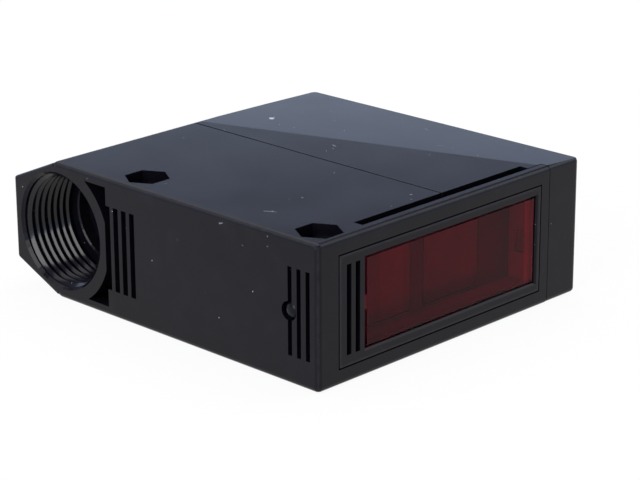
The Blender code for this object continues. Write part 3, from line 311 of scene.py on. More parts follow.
def smudge() -> bpy.types.NodeTree:
    """A long or round mark at a given place: 1 in its middle and 0 outside.

    Returns:
        The node group.
    """
    inputs = {
        "Vector": (VECTOR, None),
        "Centre": (VECTOR, (0, 0, 0)),
        "Along": (VECTOR, (1, 0, 0)),
        "Length": (NUMBER, 0.001),
        "Width": (NUMBER, 0.0002),
    }
    group, graph, start, end = new_group("smudge", inputs, {"Mark": NUMBER})
    vector, centre, along, length, width = (start.outputs[n] for n in inputs)
    offset = graph.add("ShaderNodeVectorMath", operation="SUBTRACT")
    graph.feed(offset.inputs[0], vector)
    graph.feed(offset.inputs[1], centre)
    sway = graph.math(Maths.TAKE, graph.noise(vector, scale=700.0, detail=2.0), 0.5)
    shift = graph.math(Maths.TIMES, sway, graph.math(Maths.TIMES, width, 4.0))
    dot = graph.add("ShaderNodeVectorMath", operation="DOT_PRODUCT")
    graph.feed(dot.inputs[0], offset.outputs[0])
    graph.feed(dot.inputs[1], along)
    whole = graph.add("ShaderNodeVectorMath", operation="LENGTH")
    graph.feed(whole.inputs[0], offset.outputs[0])
    square = graph.math(Maths.POWER, whole.outputs["Value"], 2.0)
    part = graph.math(Maths.POWER, graph.math(Maths.SIZE, dot.outputs["Value"]), 2.0)
    side = graph.math(Maths.POWER, graph.math(Maths.MOST, graph.math(Maths.TAKE, square, part), 0.0), 0.5)
    side = graph.math(Maths.SIZE, graph.math(Maths.ADD, side, shift))
    across = graph.ramp(graph.math(Maths.OVER, side, width), low=1.0, high=0.3)
    down = graph.math(Maths.OVER, graph.math(Maths.SIZE, dot.outputs["Value"]), length)
    graph.feed(end.inputs["Mark"], graph.math(Maths.TIMES, across, graph.ramp(down, low=1.0, high=0.6)))
    return group


def seam_shadow() -> bpy.types.NodeTree:
    """The line of painted shade, made duller too, where two mouldings meet at a level of Y, from the rear
    up to a given end along X.

    Returns:
        The node group.
    """
    inputs = {
        "Vector": (VECTOR, None),
        "Level": (NUMBER, 0.0),
        "Reach": (NUMBER, 0.0002),
        "End": (NUMBER, 1.0),
    }
    group, graph, start, end = new_group("seam_shadow", inputs, {"Seam": NUMBER})
    vector, level, reach, stop = (start.outputs[n] for n in inputs)
    along, height, _ = graph.axes(vector)
    away = graph.math(Maths.SIZE, graph.math(Maths.TAKE, height, level))
    ragged = graph.math(Maths.TIMES, graph.noise(vector, scale=1500.0, detail=2.0), 0.4)
    ratio = graph.math(Maths.ADD, graph.math(Maths.OVER, away, reach), ragged)
    before = graph.math(Maths.BELOW, along, stop)
    graph.feed(end.inputs["Seam"], graph.math(Maths.TIMES, graph.ramp(ratio, low=1.2, high=0.7), before))
    return group


@dataclass
class Effects:
    """The node groups that several finishes share."""

    grain: bpy.types.NodeTree = field(default_factory=mould_grain)
    dust: bpy.types.NodeTree = field(default_factory=dust)
    wear: bpy.types.NodeTree = field(default_factory=edge_wear)
    smudge: bpy.types.NodeTree = field(default_factory=smudge)
    seam: bpy.types.NodeTree = field(default_factory=seam_shadow)


EFFECTS = Effects()


@dataclass(frozen=True)
class Mark:
    """One mark of dust or lint at a known place, in millimetres of the shared frame."""

    centre: Point
    along: Point
    length: float
    width: float
    strength: float


@dataclass(frozen=True)
class Finish:
    """What all finishes have in common: a name and one Principled shader."""

    name: str

    def start(self) -> tuple[bpy.types.Material, Graph, bpy.types.Node, Socket]:
        """Makes the material.

        Returns:
            The material, its Graph, its Principled shader and the socket of its Object coordinates.
        """
        material = bpy.data.materials.new(self.name)
        material.use_nodes = True
        graph = Graph(material.node_tree)
        shader = material.node_tree.nodes["Principled BSDF"]
        place = graph.add("ShaderNodeTexCoord").outputs["Object"]
        return material, graph, shader, place

    @staticmethod
    def use(graph: Graph, group: bpy.types.NodeTree, **values: Input) -> bpy.types.Node:
        """Adds a shared effect to a material with its own values.

        Args:
            graph: the material's Graph.
            group: the effect's node group.
            values: what goes into the group's inputs, by name.

        Returns:
            The group's node.
        """
        node = graph.add("ShaderNodeGroup", node_tree=group)
        for name, value in values.items():
            graph.feed(node.inputs[name], value)
        return node

    @staticmethod
    def bump(graph: Graph, shader: bpy.types.Node, height: Input, strength: float, depth: float) -> None:
        """Adds a Bump node to the shader's normal.

        Args:
            graph: the material's Graph.
            shader: its Principled shader.
            height: the relief, from 0 to 1.
            strength: how much of the relief is used.
            depth: the most that it raises the surface, in metres.
        """
        node = graph.add("ShaderNodeBump")
        node.inputs["Strength"].default_value = strength
        node.inputs["Distance"].default_value = depth
        graph.feed(node.inputs["Height"], height)
        graph.feed(shader.inputs["Normal"], node.outputs[0])


@dataclass(frozen=True)
class MouldedPlastic(Finish):
    """Plastic with a fine moulded grain, its edges rubbed paler, and dust on it.

    Attributes:
        colour: the plastic's own colour.
        pale: the colour of its rubbed edges.
        seam_shade_colour: the colour in the seam's dull line.
        clouds: how much darker the dark clouds in its colour are.
        spread: how far the roughness varies each way.
        dulling: the roughness that full dust adds.
        grain: the lumps of the grain in a metre.
        specks: the share of places that hold a speck.
        film: how dusty it is between the specks.
        box: the corners of the block whose edges are worn, if any are.
        seam: the level, reach and front end of the seam's line of painted shade, which is made duller too,
            if there is one.
        painted_light_fade: painted light: another colour and the two levels of Y between which it takes
            over.
        marks: the marks at known places.
    """

    colour: Colour = (0.0037, 0.0031, 0.0054)
    pale: Colour = (0.045, 0.046, 0.052)
    dust_colour: Colour = (0.42, 0.44, 0.48)
    roughness: float = 0.19
    specular: float = 0.15
    clouds: float = 0.1
    seam_shade_colour: Colour = (0.0005, 0.0005, 0.0005)
    spread: float = 0.02
    dulling: float = 0.3
    grain: float = 3200.0
    grain_depth: float = 0.000006
    specks: float = 0.16
    speck_size: float = 0.065
    film: float = 0.004
    wear: float = 0.25
    box: tuple[Point, Point] | None = None
    seam: tuple[float, float, float] | None = None
    painted_light_fade: tuple[Colour, float, float] | None = None
    marks: tuple[Mark, ...] = ()

    def make(self) -> bpy.types.Material:
        """Builds the material.

        Returns:
            The material.
        """
        material, graph, shader, place = self.start()
        grain = self.use(graph, EFFECTS.grain, Vector=place, Grain=self.grain)
        dusty = self.use(graph, EFFECTS.dust, Vector=place, Amount=self.specks, Size=self.speck_size)
        cloud = grain.outputs["Cloud"]
        shade = tuple(c * (1.0 - self.clouds) for c in self.colour)
        colour = graph.mix(graph.ramp(cloud, low=0.35, high=0.65), shade, self.colour)
        # Painted light: the colour turns to a lighter one between two levels of Y.
        if self.painted_light_fade:
            other, first, last = self.painted_light_fade
            colour = graph.mix(graph.ramp(graph.axes(place)[1], first, last), colour, other)
        if self.box:
            low, high = self.box
            worn = self.use(graph, EFFECTS.wear, Vector=place, Low=low, High=high).outputs["Edge"]
            colour = graph.mix(graph.math(Maths.TIMES, worn, self.wear), colour, self.pale)
        film = graph.math(Maths.TIMES, dusty.outputs["Film"], self.film)
        cover = graph.math(Maths.MOST, dusty.outputs["Specks"], film)
        for mark in self.marks:
            spot = self.use(
                graph,
                EFFECTS.smudge,
                Vector=place,
                Centre=tuple(c * MM for c in mark.centre),
                Along=tuple(Vector(mark.along).normalized()),
                Length=mark.length * MM,
                Width=mark.width * MM,
            )
            shown = graph.math(Maths.TIMES, spot.outputs["Mark"], mark.strength)
            cover = graph.math(Maths.MOST, cover, shown)
        rough = graph.vary(cloud, self.roughness - self.spread, self.roughness + self.spread)
        matt = graph.math(Maths.TIMES, cover, self.dulling)
        # Painted shade: the colour is darkened along the seam where the lid meets, and the line is made
        # duller there.
        if self.seam:
            level, reach, end = self.seam
            line = self.use(graph, EFFECTS.seam, Vector=place, Level=level, Reach=reach, End=end)
            colour = graph.mix(line.outputs["Seam"], colour, self.seam_shade_colour)
            matt = graph.math(Maths.ADD, matt, line.outputs["Seam"])
        graph.feed(shader.inputs["Base Color"], graph.mix(cover, colour, self.dust_colour))
        graph.feed(shader.inputs["Roughness"], graph.math(Maths.ADD, rough, matt, clamp=True))
        shader.inputs["Specular IOR Level"].default_value = self.specular
        self.bump(graph, shader, grain.outputs["Height"], strength=0.5, depth=self.grain_depth)
        return material


@dataclass(frozen=True)
class WindowPlastic(Finish):
    """Polished, tinted, see-through plastic with specks on its face and painted shade along two of its
    edges.

    Attributes:
        colour: its tint.
        index: how strongly it bends light.
        black: the colour of the painted shade along the edges.
        line: how far the painted shade reaches from an edge.
        edges: the levels of the two edges, the first along Y and the second along Z.
    """

    colour: Colour = (0.83, 0.03, 0.13)
    roughness: float = 0.05
    index: float = 1.178
    specks: float = 0.1
    speck_size: float = 0.06
    speck_colour: Colour = (0.75, 0.45, 0.45)
    black: Colour = (0.01, 0.002, 0.003)
    line: float = 0.05 * MM
    edges: tuple[float, float] | None = None

    def make(self) -> bpy.types.Material:
        """Builds the material.

        Returns:
            The material.
        """
        material, graph, shader, place = self.start()
        dusty = self.use(graph, EFFECTS.dust, Vector=place, Amount=self.specks, Size=self.speck_size)
        cloud = self.use(graph, EFFECTS.grain, Vector=place, Clouds=110.0).outputs["Cloud"]
        deep = tuple(c * 0.86 for c in self.colour)
        colour = graph.mix(graph.vary(cloud, 0.0, 1.0), deep, self.colour)
        # Painted shade: a dark line along the window's edge by the tab and along its top edge.
        if self.edges:
            _, along, up = graph.axes(place)
            away = graph.math(Maths.SIZE, graph.math(Maths.TAKE, along, self.edges[0]))
            first = graph.math(Maths.BELOW, away, self.line)
            upper = graph.math(Maths.ABOVE, up, self.edges[1] - self.line)
            colour = graph.mix(graph.math(Maths.MOST, first, upper), colour, self.black)
        colour = graph.mix(dusty.outputs["Specks"], colour, self.speck_colour)
        graph.feed(shader.inputs["Base Color"], colour)
        graph.feed(shader.inputs["Roughness"], graph.vary(cloud, self.roughness, self.roughness + 0.05))
        shader.inputs["IOR"].default_value = self.index
        shader.inputs["Transmission Weight"].default_value = 1.0
        self.bump(graph, shader, cloud, strength=0.15, depth=0.04 * MM)
        return material


@dataclass(frozen=True)
class BandedFilm(Finish):
    """Dark polarising film with painted sheen: soft upright bands and a lit strip painted lighter into its
    colour.

    Attributes:
        dark: its colour outside the bands.
        light: its colour in a band and in the lit strip, a painted sheen.
        bands: how close the bands are, as the lumps of noise in a metre.
        sheen: the levels of Y between which the painted lit strip is all light.
        rise: how softly the light part begins.
        fall: how softly the light part ends.
    """

    dark: Colour = (0.028, 0.026, 0.026)
    light: Colour = (0.06, 0.055, 0.055)
    bands: float = 95.0
    sheen: tuple[float, float] = (-12.7 * MM, -6.7 * MM)
    rise: float = 0.4 * MM
    fall: float = 0.6 * MM
    specular: float = 0.34

    def make(self) -> bpy.types.Material:
        """Builds the material.

        Returns:
            The material.
        """
        material, graph, shader, place = self.start()
        flat = graph.stretched(place, (0.02, 1.0, 0.03))
        band = graph.noise(flat, self.bands, detail=2.0)
        level = graph.axes(place)[1]
        # Painted sheen: a lit strip along Y and soft lighter bands painted into the film's colour.
        start, end = self.sheen
        rise = graph.ramp(level, start - self.rise, start + self.rise)
        fall = graph.ramp(level, end + self.fall, end - self.fall)
        soft = graph.math(Maths.TIMES, graph.vary(band, 0.0, 1.0), 0.35)
        lit = graph.math(Maths.MOST, graph.math(Maths.TIMES, rise, fall), soft)
        graph.feed(shader.inputs["Base Color"], graph.mix(lit, self.dark, self.light))
        graph.feed(shader.inputs["Roughness"], graph.vary(band, 0.28, 0.34))
        shader.inputs["Specular IOR Level"].default_value = self.specular
        self.bump(graph, shader, graph.noise(place, scale=900.0), strength=0.2, depth=0.01 * MM)
        return material


@dataclass(frozen=True)
class Metal(Finish):
    """Plated or bare metal with fine turning lines and duller patches."""

    colour: Colour = (0.62, 0.62, 0.6)
    dull: Colour = (0.42, 0.42, 0.4)
    roughness: float = 0.32
    lines: Point = (1.0, 12.0, 1.0)

    def make(self) -> bpy.types.Material:
        """Builds the material.

        Returns:
            The material.
        """
        material, graph, shader, place = self.start()
        line = graph.noise(graph.stretched(place, self.lines), scale=700.0, detail=3.0)
        patch = graph.noise(place, scale=420.0, detail=5.0)
        colour = graph.mix(graph.ramp(patch, low=0.5, high=0.7), self.colour, self.dull)
        rough = graph.ramp(patch, 0.35, 0.7, to_low=self.roughness, to_high=self.roughness + 0.2)
        graph.feed(shader.inputs["Base Color"], colour)
        graph.feed(shader.inputs["Roughness"], rough)
        shader.inputs["Metallic"].default_value = 1.0
        self.bump(graph, shader, line, strength=0.3, depth=0.02 * MM)
        return material


@dataclass(frozen=True)
class CircuitBoard(Finish):
    """Green solder mask over tracks, with the weave of the glass cloth showing through."""

    mask: Colour = (0.02, 0.16, 0.06)
    track: Colour = (0.06, 0.30, 0.12)
    pad: Colour = (0.75, 0.74, 0.7)

    def make(self) -> bpy.types.Material:
        """Builds the material.

        Returns:
            The material.
        """
        material, graph, shader, place = self.start()
        cells = graph.add("ShaderNodeTexVoronoi", distance="MANHATTAN", feature="F1")
        graph.feed(cells.inputs["Vector"], place)
        cells.inputs["Scale"].default_value = 420.0
        weave = graph.noise(place, scale=2600.0, detail=1.0)
        maze = graph.noise(graph.stretched(place, (3.0, 1.0, 1.0)), scale=260.0, detail=0.0)
        tracks = graph.ramp(maze, low=0.5, high=0.53)
        colour = graph.mix(tracks, self.mask, self.track)
        pads = graph.ramp(cells.outputs["Distance"], low=0.3, high=0.26)
        colour = graph.mix(graph.math(Maths.TIMES, pads, 0.8), colour, self.pad)
        graph.feed(shader.inputs["Base Color"], colour)
        graph.feed(shader.inputs["Roughness"], graph.vary(weave, 0.3, 0.45))
        self.bump(graph, shader, graph.math(Maths.ADD, tracks, pads), strength=0.4, depth=0.04 * MM)
        return material


@dataclass(frozen=True)
class ClearResin(Finish):
    """Clear or tinted resin and acrylic, with faint flow lines."""

    colour: Colour = (0.92, 0.94, 0.95)
    transmission: float = 1.0
    roughness: float = 0.05
    specular: float = 0.5
    index: float = 1.49

    def make(self) -> bpy.types.Material:
        """Builds the material.

        Returns:
            The material.
        """
        material, graph, shader, place = self.start()
        flow = graph.noise(place, scale=300.0, detail=4.0)
        tint = tuple(c * 0.9 for c in self.colour)
        graph.feed(shader.inputs["Base Color"], graph.mix(flow, tint, self.colour))
        graph.feed(shader.inputs["Roughness"], graph.vary(flow, self.roughness, self.roughness + 0.06))
        shader.inputs["Transmission Weight"].default_value = self.transmission
        shader.inputs["IOR"].default_value = self.index
        shader.inputs["Specular IOR Level"].default_value = self.specular
        self.bump(graph, shader, flow, strength=0.1, depth=0.02 * MM)
        return material


class Bench:
    """Modelling helpers that work as by hand: in edit mode, on what is selected."""

    @staticmethod
    def nothing_selected() -> None:
        """Leaves edit mode and deselects every object."""
        if bpy.context.mode != "OBJECT":
            bpy.ops.object.mode_set(mode="OBJECT")
        bpy.ops.object.select_all(action="DESELECT")

    @staticmethod
    def settle(piece: bpy.types.Object, name: str) -> bpy.types.Object:
        """Names the piece, applies its place and turns its faces outwards.

        Args:
            piece: the finished object.
            name: its new name.

        Returns:
            The same object, at the origin, unturned and unscaled.
        """
        Bench.nothing_selected()
        piece.name = name
        piece.select_set(True)
        bpy.context.view_layer.objects.active = piece
        bpy.ops.object.transform_apply(location=True, rotation=True, scale=True)
        bpy.ops.object.mode_set(mode="EDIT")
        bpy.ops.mesh.select_all(action="SELECT")
        bpy.ops.mesh.remove_doubles(threshold=MERGE)
        bpy.ops.mesh.normals_make_consistent(inside=False)
        bpy.ops.object.mode_set(mode="OBJECT")
        return piece

    @staticmethod
    def apply(piece: bpy.types.Object) -> None:
        """Applies all of a piece's modifiers in order.

        Args:
            piece: the object that has them.
        """
        Bench.nothing_selected()
        piece.select_set(True)
        bpy.context.view_layer.objects.active = piece
        for step in list(piece.modifiers):
            bpy.ops.object.modifier_apply(modifier=step.name)


def paint(node: str, material: bpy.types.Material) -> None:
    """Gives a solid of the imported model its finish.

    Args:
        node: the solid's name.
        material: the finish.
    """
    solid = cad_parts[node]
    solid.data.materials.clear()
    solid.data.materials.append(material)
    REPORT.info("%s has the finish %s", node, material.name)


def corners(node: str) -> tuple[Point, Point]:
    """The lowest and highest corner of a solid at rest, as plain tuples."""
    low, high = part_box(node)
    return tuple(low), tuple(high)


@dataclass
class Case:
    """The housing, the lid and the front panel, all of the same black plastic.

    Attributes:
        seam_drop: how far below the lid the seam's line of painted shade is.
        seam_reach: half the width of that line.
        seam_stop: how far behind the front panel it ends.
        past_rear: how far past the rear the worn block goes, so that none of its edges is there.
        flecks: the marks of dust that stand out on the broad side and the base.
    """

    seam_drop: float = 0.08 * MM
    seam_reach: float = 0.2 * MM
    seam_stop: float = 0.4 * MM
    past_rear: float = 1.0
    flecks: tuple[Mark, ...] = (
        Mark((-18.5, 12.7, 24.8), (-0.75, 0.66, 0), 0.7, 0.5, 1.0),
        Mark((2.1, 7.8, 25.0), (0.9, -0.3, 0), 0.8, 0.2, 0.2),
        Mark((15.5, 21.0, 24.9), (0.9, 0.3, 0), 0.8, 0.22, 0.2),
        Mark((6.4, 27.4, 24.8), (0.9, 0.3, 0), 0.5, 0.3, 0.16),
        Mark((20.0, -25.8, 25.0), (0.9, 0.5, 0), 1.5, 0.13, 0.3),
        Mark((20.3, -25.4, 25.0), (0.7, -0.7, 0), 0.5, 0.12, 0.25),
        Mark((18.8, -17.0, 25.0), (0.8, 0.2, 0), 0.3, 0.12, 0.4),
        Mark((30.6, -3.5, 25.0), (0.3, 0.8, 0), 0.35, 0.2, 0.7),
        Mark((15.6, -32.5, 23.6), (1.0, 0, 0.3), 0.55, 0.08, 0.35),
        Mark((26.3, -32.5, 23.9), (0, 0, 1.0), 0.14, 0.07, 0.35),
        Mark((20.6, -32.5, 21.0), (1.0, 0, 0), 0.14, 0.07, 0.3),
        Mark((26.3, -32.5, 22.2), (1.0, 0, 0.5), 0.14, 0.07, 0.3),
    )

    def dress(self) -> None:
        """Gives the housing, the lid and the front panel their finishes."""
        # The housing and the lid get painted shade along the seam where they meet.
        for node in ("housing", "lid", "front_panel"):
            finish = MouldedPlastic(
                f"{node}_plastic",
                box=corners(node) if node != "housing" else self.block(),
                marks=self.flecks if node != "front_panel" else (),
                seam=self.parting() if node != "front_panel" else None,
            )
            paint(node, finish.make())

    def block(self) -> tuple[Point, Point]:
        """The corners of the block whose edges are worn: it has no end at the rear, where the boss is."""
        low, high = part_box("housing")
        return (low[0] - self.past_rear, low[1], low[2]), (high[0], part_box("lid")[1][1], high[2])

    def parting(self) -> tuple[float, float, float]:
        """The level along Y, the reach and the front end along X of the line of painted shade where the lid
        meets.
        """
        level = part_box("lid")[0][1] - self.seam_drop
        return level, self.seam_reach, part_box("front_panel")[0][0] - self.seam_stop


@dataclass
class ConduitThread:
    """The thread inside the conduit inlet: a ridge that winds round the bore.

    Attributes:
        behind: how far behind the housing's front the bore's axis is.
        radius: the bore's radius.
        depth: the ridge's height.
        pitch: the rise of one turn.
        first: how far above the base the first turn starts.
        sunk: how far the ridge's foot is sunk into the bore's wall.
        foot: half the ridge's width at its foot, as a share of half a pitch.
        shoulder: the same where its flanks begin to round off.
        land: the same at its crest.
        rounding: how far below the crest the flanks begin to round off, as a share of the depth.
        smooth: the greatest angle between faces that are shaded as one, in degrees.
    """

    behind: float = 62.9 * MM
    radius: float = 10.2 * MM
    depth: float = 0.66 * MM
    pitch: float = 1.411 * MM
    first: float = 0.9 * MM
    sunk: float = 0.08 * MM
    foot: float = 0.92
    shoulder: float = 0.3
    land: float = 0.14
    rounding: float = 0.16
    smooth: float = 40.0
    turns: int = 7
    steps: int = 96

    def build(self) -> bpy.types.Object:
        """Winds the ridge's outline round the bore's axis and closes its ends.

        Returns:
            The thread, in its place in the bore.
        """
        low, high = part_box("housing")
        outline = self.outline()
        Bench.nothing_selected()
        bpy.ops.mesh.primitive_circle_add(vertices=len(outline), radius=self.pitch / 2, fill_type="NOTHING")
        ridge = bpy.context.object
        for vertex, (x, z) in zip(ridge.data.vertices, outline):
            vertex.co = (x, 0, z)
        winding = ridge.modifiers.new("winding", "SCREW")
        winding.axis = "Z"
        winding.steps = self.steps
        winding.render_steps = self.steps
        winding.screw_offset = self.pitch
        winding.iterations = self.turns
        winding.use_smooth_shade = True
        Bench.apply(ridge)
        bpy.ops.object.mode_set(mode="EDIT")
        bpy.ops.mesh.select_all(action="SELECT")
        bpy.ops.mesh.normals_make_consistent(inside=False)
        bpy.ops.mesh.select_all(action="DESELECT")
        bpy.ops.mesh.select_non_manifold(extend=False)
        bpy.ops.mesh.edge_face_add()
        bpy.ops.object.mode_set(mode="OBJECT")
        turn = Matrix.Rotation(math.radians(90), 4, "X")
        start = (high[0] - self.behind, low[1] + self.first + self.pitch * self.turns, high[2] / 2)
        ridge.matrix_world = Matrix.Translation(start) @ turn
        Bench.settle(ridge, "conduit_thread")
        bpy.ops.object.select_all(action="DESELECT")
        ridge.select_set(True)
        bpy.ops.object.shade_smooth_by_angle(angle=math.radians(self.smooth))
        return ridge

    def outline(self) -> tuple[tuple[float, float], ...]:
        """The outline of the ridge, across its run.

        Returns:
            Its corners in order, each as the distance from the bore's axis and the level along it.
        """
        wall = self.radius + self.sunk
        crest = self.radius - self.depth
        flank = crest + self.depth * self.rounding
        half = self.pitch * 0.5
        return (
            (wall, -half * self.foot),
            (wall, half * self.foot),
            (flank, half * self.shoulder),
            (crest, half * self.land),
            (crest, -half * self.land),
            (flank, -half * self.shoulder),
        )

    def dress(self, thread: bpy.types.Object) -> None:
        """Gives the thread the case's plastic, a little shinier and finer in its grain.

        Args:
            thread: the finished thread.
        """
        finish = MouldedPlastic(
            "thread_plastic", roughness=0.15, specular=0.3, grain=5200.0, grain_depth=0.000003, specks=0.06
        )
        thread.data.materials.append(finish.make())
        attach(thread, "sensor")
        REPORT.info("%s: %d faces", thread.name, len(thread.data.polygons))


@dataclass
class TunnelLiner:
    """The thin pale liner of the short tunnel between the window and the lenses.

    Attributes:
        wall: its thickness.
        margin: its distance from the tunnel's walls.
        ledge: how far the tunnel's walls stand in from the window's edges.
        tab: how far the window's tab goes past its edge.
        before_lenses: its distance from the lens holder.
        behind_panel: its distance from the front panel.
        rim: how far it is turned out on the side towards the lid.
        sill: how far it is turned out below the window.
        flap: how far it is turned out on the side towards the base.
        lip: how far the rim and the sill go on forwards, beside the window.
        colour: its colour towards the base, outside the painted light.
        painted_light_colour: its colour towards the lid, where painted light makes it lighter.
    """

    wall: float = 0.12 * MM
    margin: float = 0.06 * MM
    ledge: float = 1.0 * MM
    tab: float = 0.5 * MM
    before_lenses: float = 0.35 * MM
    behind_panel: float = 0.24 * MM
    rim: float = 1.27 * MM
    sill: float = 0.27 * MM
    flap: float = 0.9 * MM
    lip: float = 0.92 * MM
    colour: Colour = (0.13, 0.13, 0.13)
    painted_light_colour: Colour = (0.24, 0.24, 0.24)

    def build(self) -> bpy.types.Object:
        """Opens both ends of a block that just fits the tunnel, turns out its rims and gives it a wall.

        Returns:
            The liner, in its place in the tunnel.
        """
        low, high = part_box("window")
        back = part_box("lens_holder")[1][0] + self.before_lenses
        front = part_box("front_panel")[0][0] - self.behind_panel
        first = Vector((back, low[1] + self.tab + self.ledge + self.margin, low[2] + self.margin))
        last = Vector((front, high[1] - self.ledge - self.margin, high[2] - self.margin))
        Bench.nothing_selected()
        bpy.ops.mesh.primitive_cube_add(size=1.0, location=(first + last) / 2)
        liner = bpy.context.object
        liner.scale = last - first
        bpy.ops.object.mode_set(mode="EDIT")
        bpy.ops.mesh.select_mode(type="FACE")
        bpy.ops.mesh.select_all(action="DESELECT")
        bpy.ops.object.mode_set(mode="OBJECT")
        for face in liner.data.polygons:
            face.select = abs(face.normal.x) > 0.5
        bpy.ops.object.mode_set(mode="EDIT")
        bpy.ops.mesh.delete(type="ONLY_FACE")
        Bench.settle(liner, "tunnel_liner")
        self.turn_out(liner, front)
        thick = liner.modifiers.new("wall", "SOLIDIFY")
        thick.thickness = self.wall
        thick.offset = -1.0
        Bench.apply(liner)
        return liner

    def turn_out(self, liner: bpy.types.Object, front: float) -> None:
        """Turns three of the block's front edges outwards behind the window, and two of them on beside it.

        Args:
            liner: the open block.
            front: where the block's front edges are along X.
        """
        ends = [[point.co[axis] for point in liner.data.vertices] for axis in range(3)]
        sides = (
            (1, max(ends[1]), self.rim, self.lip),
            (2, min(ends[2]), -self.sill, self.lip),
            (1, min(ends[1]), -self.flap, 0.0),
        )
        for axis, level, out, forth in sides:
            self.select_edge(liner, front, axis, level)
            self.pull(liner, axis, out)
            if forth:
                self.pull(liner, 0, forth)

    @staticmethod
    def select_edge(liner: bpy.types.Object, front: float, axis: int, level: float) -> None:
        """Selects one of the block's front edges.

        Args:
            liner: the open block.
            front: where the block's front edges are along X.
            axis: the axis that the edge is found by.
            level: where the edge lies along that axis.
        """
        points = liner.data.vertices
        bpy.ops.object.mode_set(mode="EDIT")
        bpy.ops.mesh.select_mode(type="EDGE")
        bpy.ops.mesh.select_all(action="DESELECT")
        bpy.ops.object.mode_set(mode="OBJECT")
        for edge in liner.data.edges:
            ends = [points[n].co for n in edge.vertices]
            edge.select = max(max(abs(end.x - front), abs(end[axis] - level)) for end in ends) < TOUCH

    @staticmethod
    def pull(liner: bpy.types.Object, axis: int, way: float) -> None:
        """Extrudes the selected edge and moves its new points.

        Args:
            liner: the open block.
            axis: the axis along which they move.
            way: how far they move.
        """
        bpy.ops.object.mode_set(mode="EDIT")
        bpy.ops.mesh.extrude_edges_move()
        bpy.ops.object.mode_set(mode="OBJECT")
        for point in liner.data.vertices:
            if point.select:
                point.co[axis] += way

    def dress(self, liner: bpy.types.Object) -> None:
        """Gives the liner a matt plastic with painted light, darker towards the base and lighter towards
        the lid.

        Args:
            liner: the finished liner.
        """
        # Painted light: the colour turns lighter along the window towards the lid.
        low, high = corners("window")
        painted_light_fade = (self.painted_light_colour, low[1], high[1])
        finish = MouldedPlastic("liner_plastic", colour=self.colour, roughness=0.6, specks=0.1, painted_light_fade=painted_light_fade)
        liner.data.materials.append(finish.make())
        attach(liner, "sensor")
        REPORT.info("%s: %d faces", liner.name, len(liner.data.polygons))


@dataclass
class Optics:
    """The red window and what shows through it, the light guide, the small lamps and the status light.

    Attributes:
        tab: how far the window's tab goes past the edge that has painted shade along it.
        holder: the lens holder's colour.
        smoke: the status light's colour.
    """

    tab: float = 0.5 * MM
    holder: Colour = (0.045, 0.045, 0.045)
    smoke: Colour = (0.004, 0.004, 0.005)

    def dress(self) -> None:
        """Gives every one of them its finish."""
        low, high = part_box("window")
        # The window gets painted shade along its edge by the tab and along its top edge.
        paint("window", WindowPlastic("window_red", edges=(low[1] + self.tab, high[2])).make())
        block = corners("lens_holder")
        matt = MouldedPlastic("holder_plastic", colour=self.holder, roughness=0.6, specks=0.1, box=block)
        paint("lens_holder", matt.make())
        film = BandedFilm("polarising_film").make()
        clear = ClearResin("clear_acrylic").make()
        for side in ("emitter", "receiver"):
            paint(f"{side}_polariser", film)
            paint(f"{side}_lens", clear)
        paint("light_guide", clear)
        paint("emitter_led", ClearResin("red_resin", colour=(0.7, 0.05, 0.05), roughness=0.12).make())
        paint("indicator_led", ClearResin("green_resin", colour=(0.1, 0.6, 0.2), roughness=0.2).make())
        dark = ClearResin("smoked_acrylic", self.smoke, transmission=0.0, roughness=0.1, specular=0.13)
        paint("status_light", dark.make())


@dataclass
class Inside:
    """The boards, the relay, the terminals, the controls and the seal under the lid."""

    terminals: int = 5

    def dress(self) -> None:
        """Gives every piece under the lid its finish."""
        board = CircuitBoard("board_laminate").make()
        for node in ("main_board", "control_board", "optics_board"):
            paint(node, board)
        steel = Metal("zinc_steel").make()
        paint("lid_screw", steel)
        for n in range(self.terminals):
            paint(f"terminal_screw_{n + 1}", steel)
        paint("capacitor", Metal("aluminium_can", colour=(0.76, 0.77, 0.79), lines=(1.0, 1.0, 14.0)).make())
        black = MouldedPlastic("component_black", colour=(0.018, 0.018, 0.02), roughness=0.55).make()
        for node in ("relay", "receiver_photodiode", "mode_selector"):
            paint(node, black)
        rubber = MouldedPlastic("seal_rubber", colour=(0.03, 0.03, 0.03), roughness=0.8, specular=0.3)
        paint("lid_gasket", rubber.make())
        grey = MouldedPlastic("terminal_grey", colour=(0.33, 0.34, 0.35), roughness=0.5).make()
        paint("terminal_block", grey)
        blue = MouldedPlastic("trimmer_blue", colour=(0.05, 0.14, 0.42), roughness=0.45).make()
        paint("sensitivity_trimmer", blue)
        white = MouldedPlastic("white_nylon", colour=(0.78, 0.78, 0.76), roughness=0.5).make()
        for node in ("sensitivity_rotor", "mode_slider"):
            paint(node, white)


@dataclass(frozen=True)
class Lamp:
    """A square area lamp: its name, its middle, its side in metres and its power in watts."""

    name: str
    place: Point
    size: float
    power: float

    def hang(self, target: Point) -> None:
        """Adds the lamp to the scene.

        Args:
            target: the point that it faces.
        """
        data = bpy.data.lights.new(self.name, "AREA")
        data.size = self.size
        data.energy = self.power
        lamp = bpy.data.objects.new(self.name, data)
        aim = (Vector(target) - Vector(self.place)).to_track_quat("-Z", "Y").to_matrix().to_4x4()
        lamp.matrix_world = Matrix.Translation(self.place) @ aim
        bpy.context.scene.collection.objects.link(lamp)


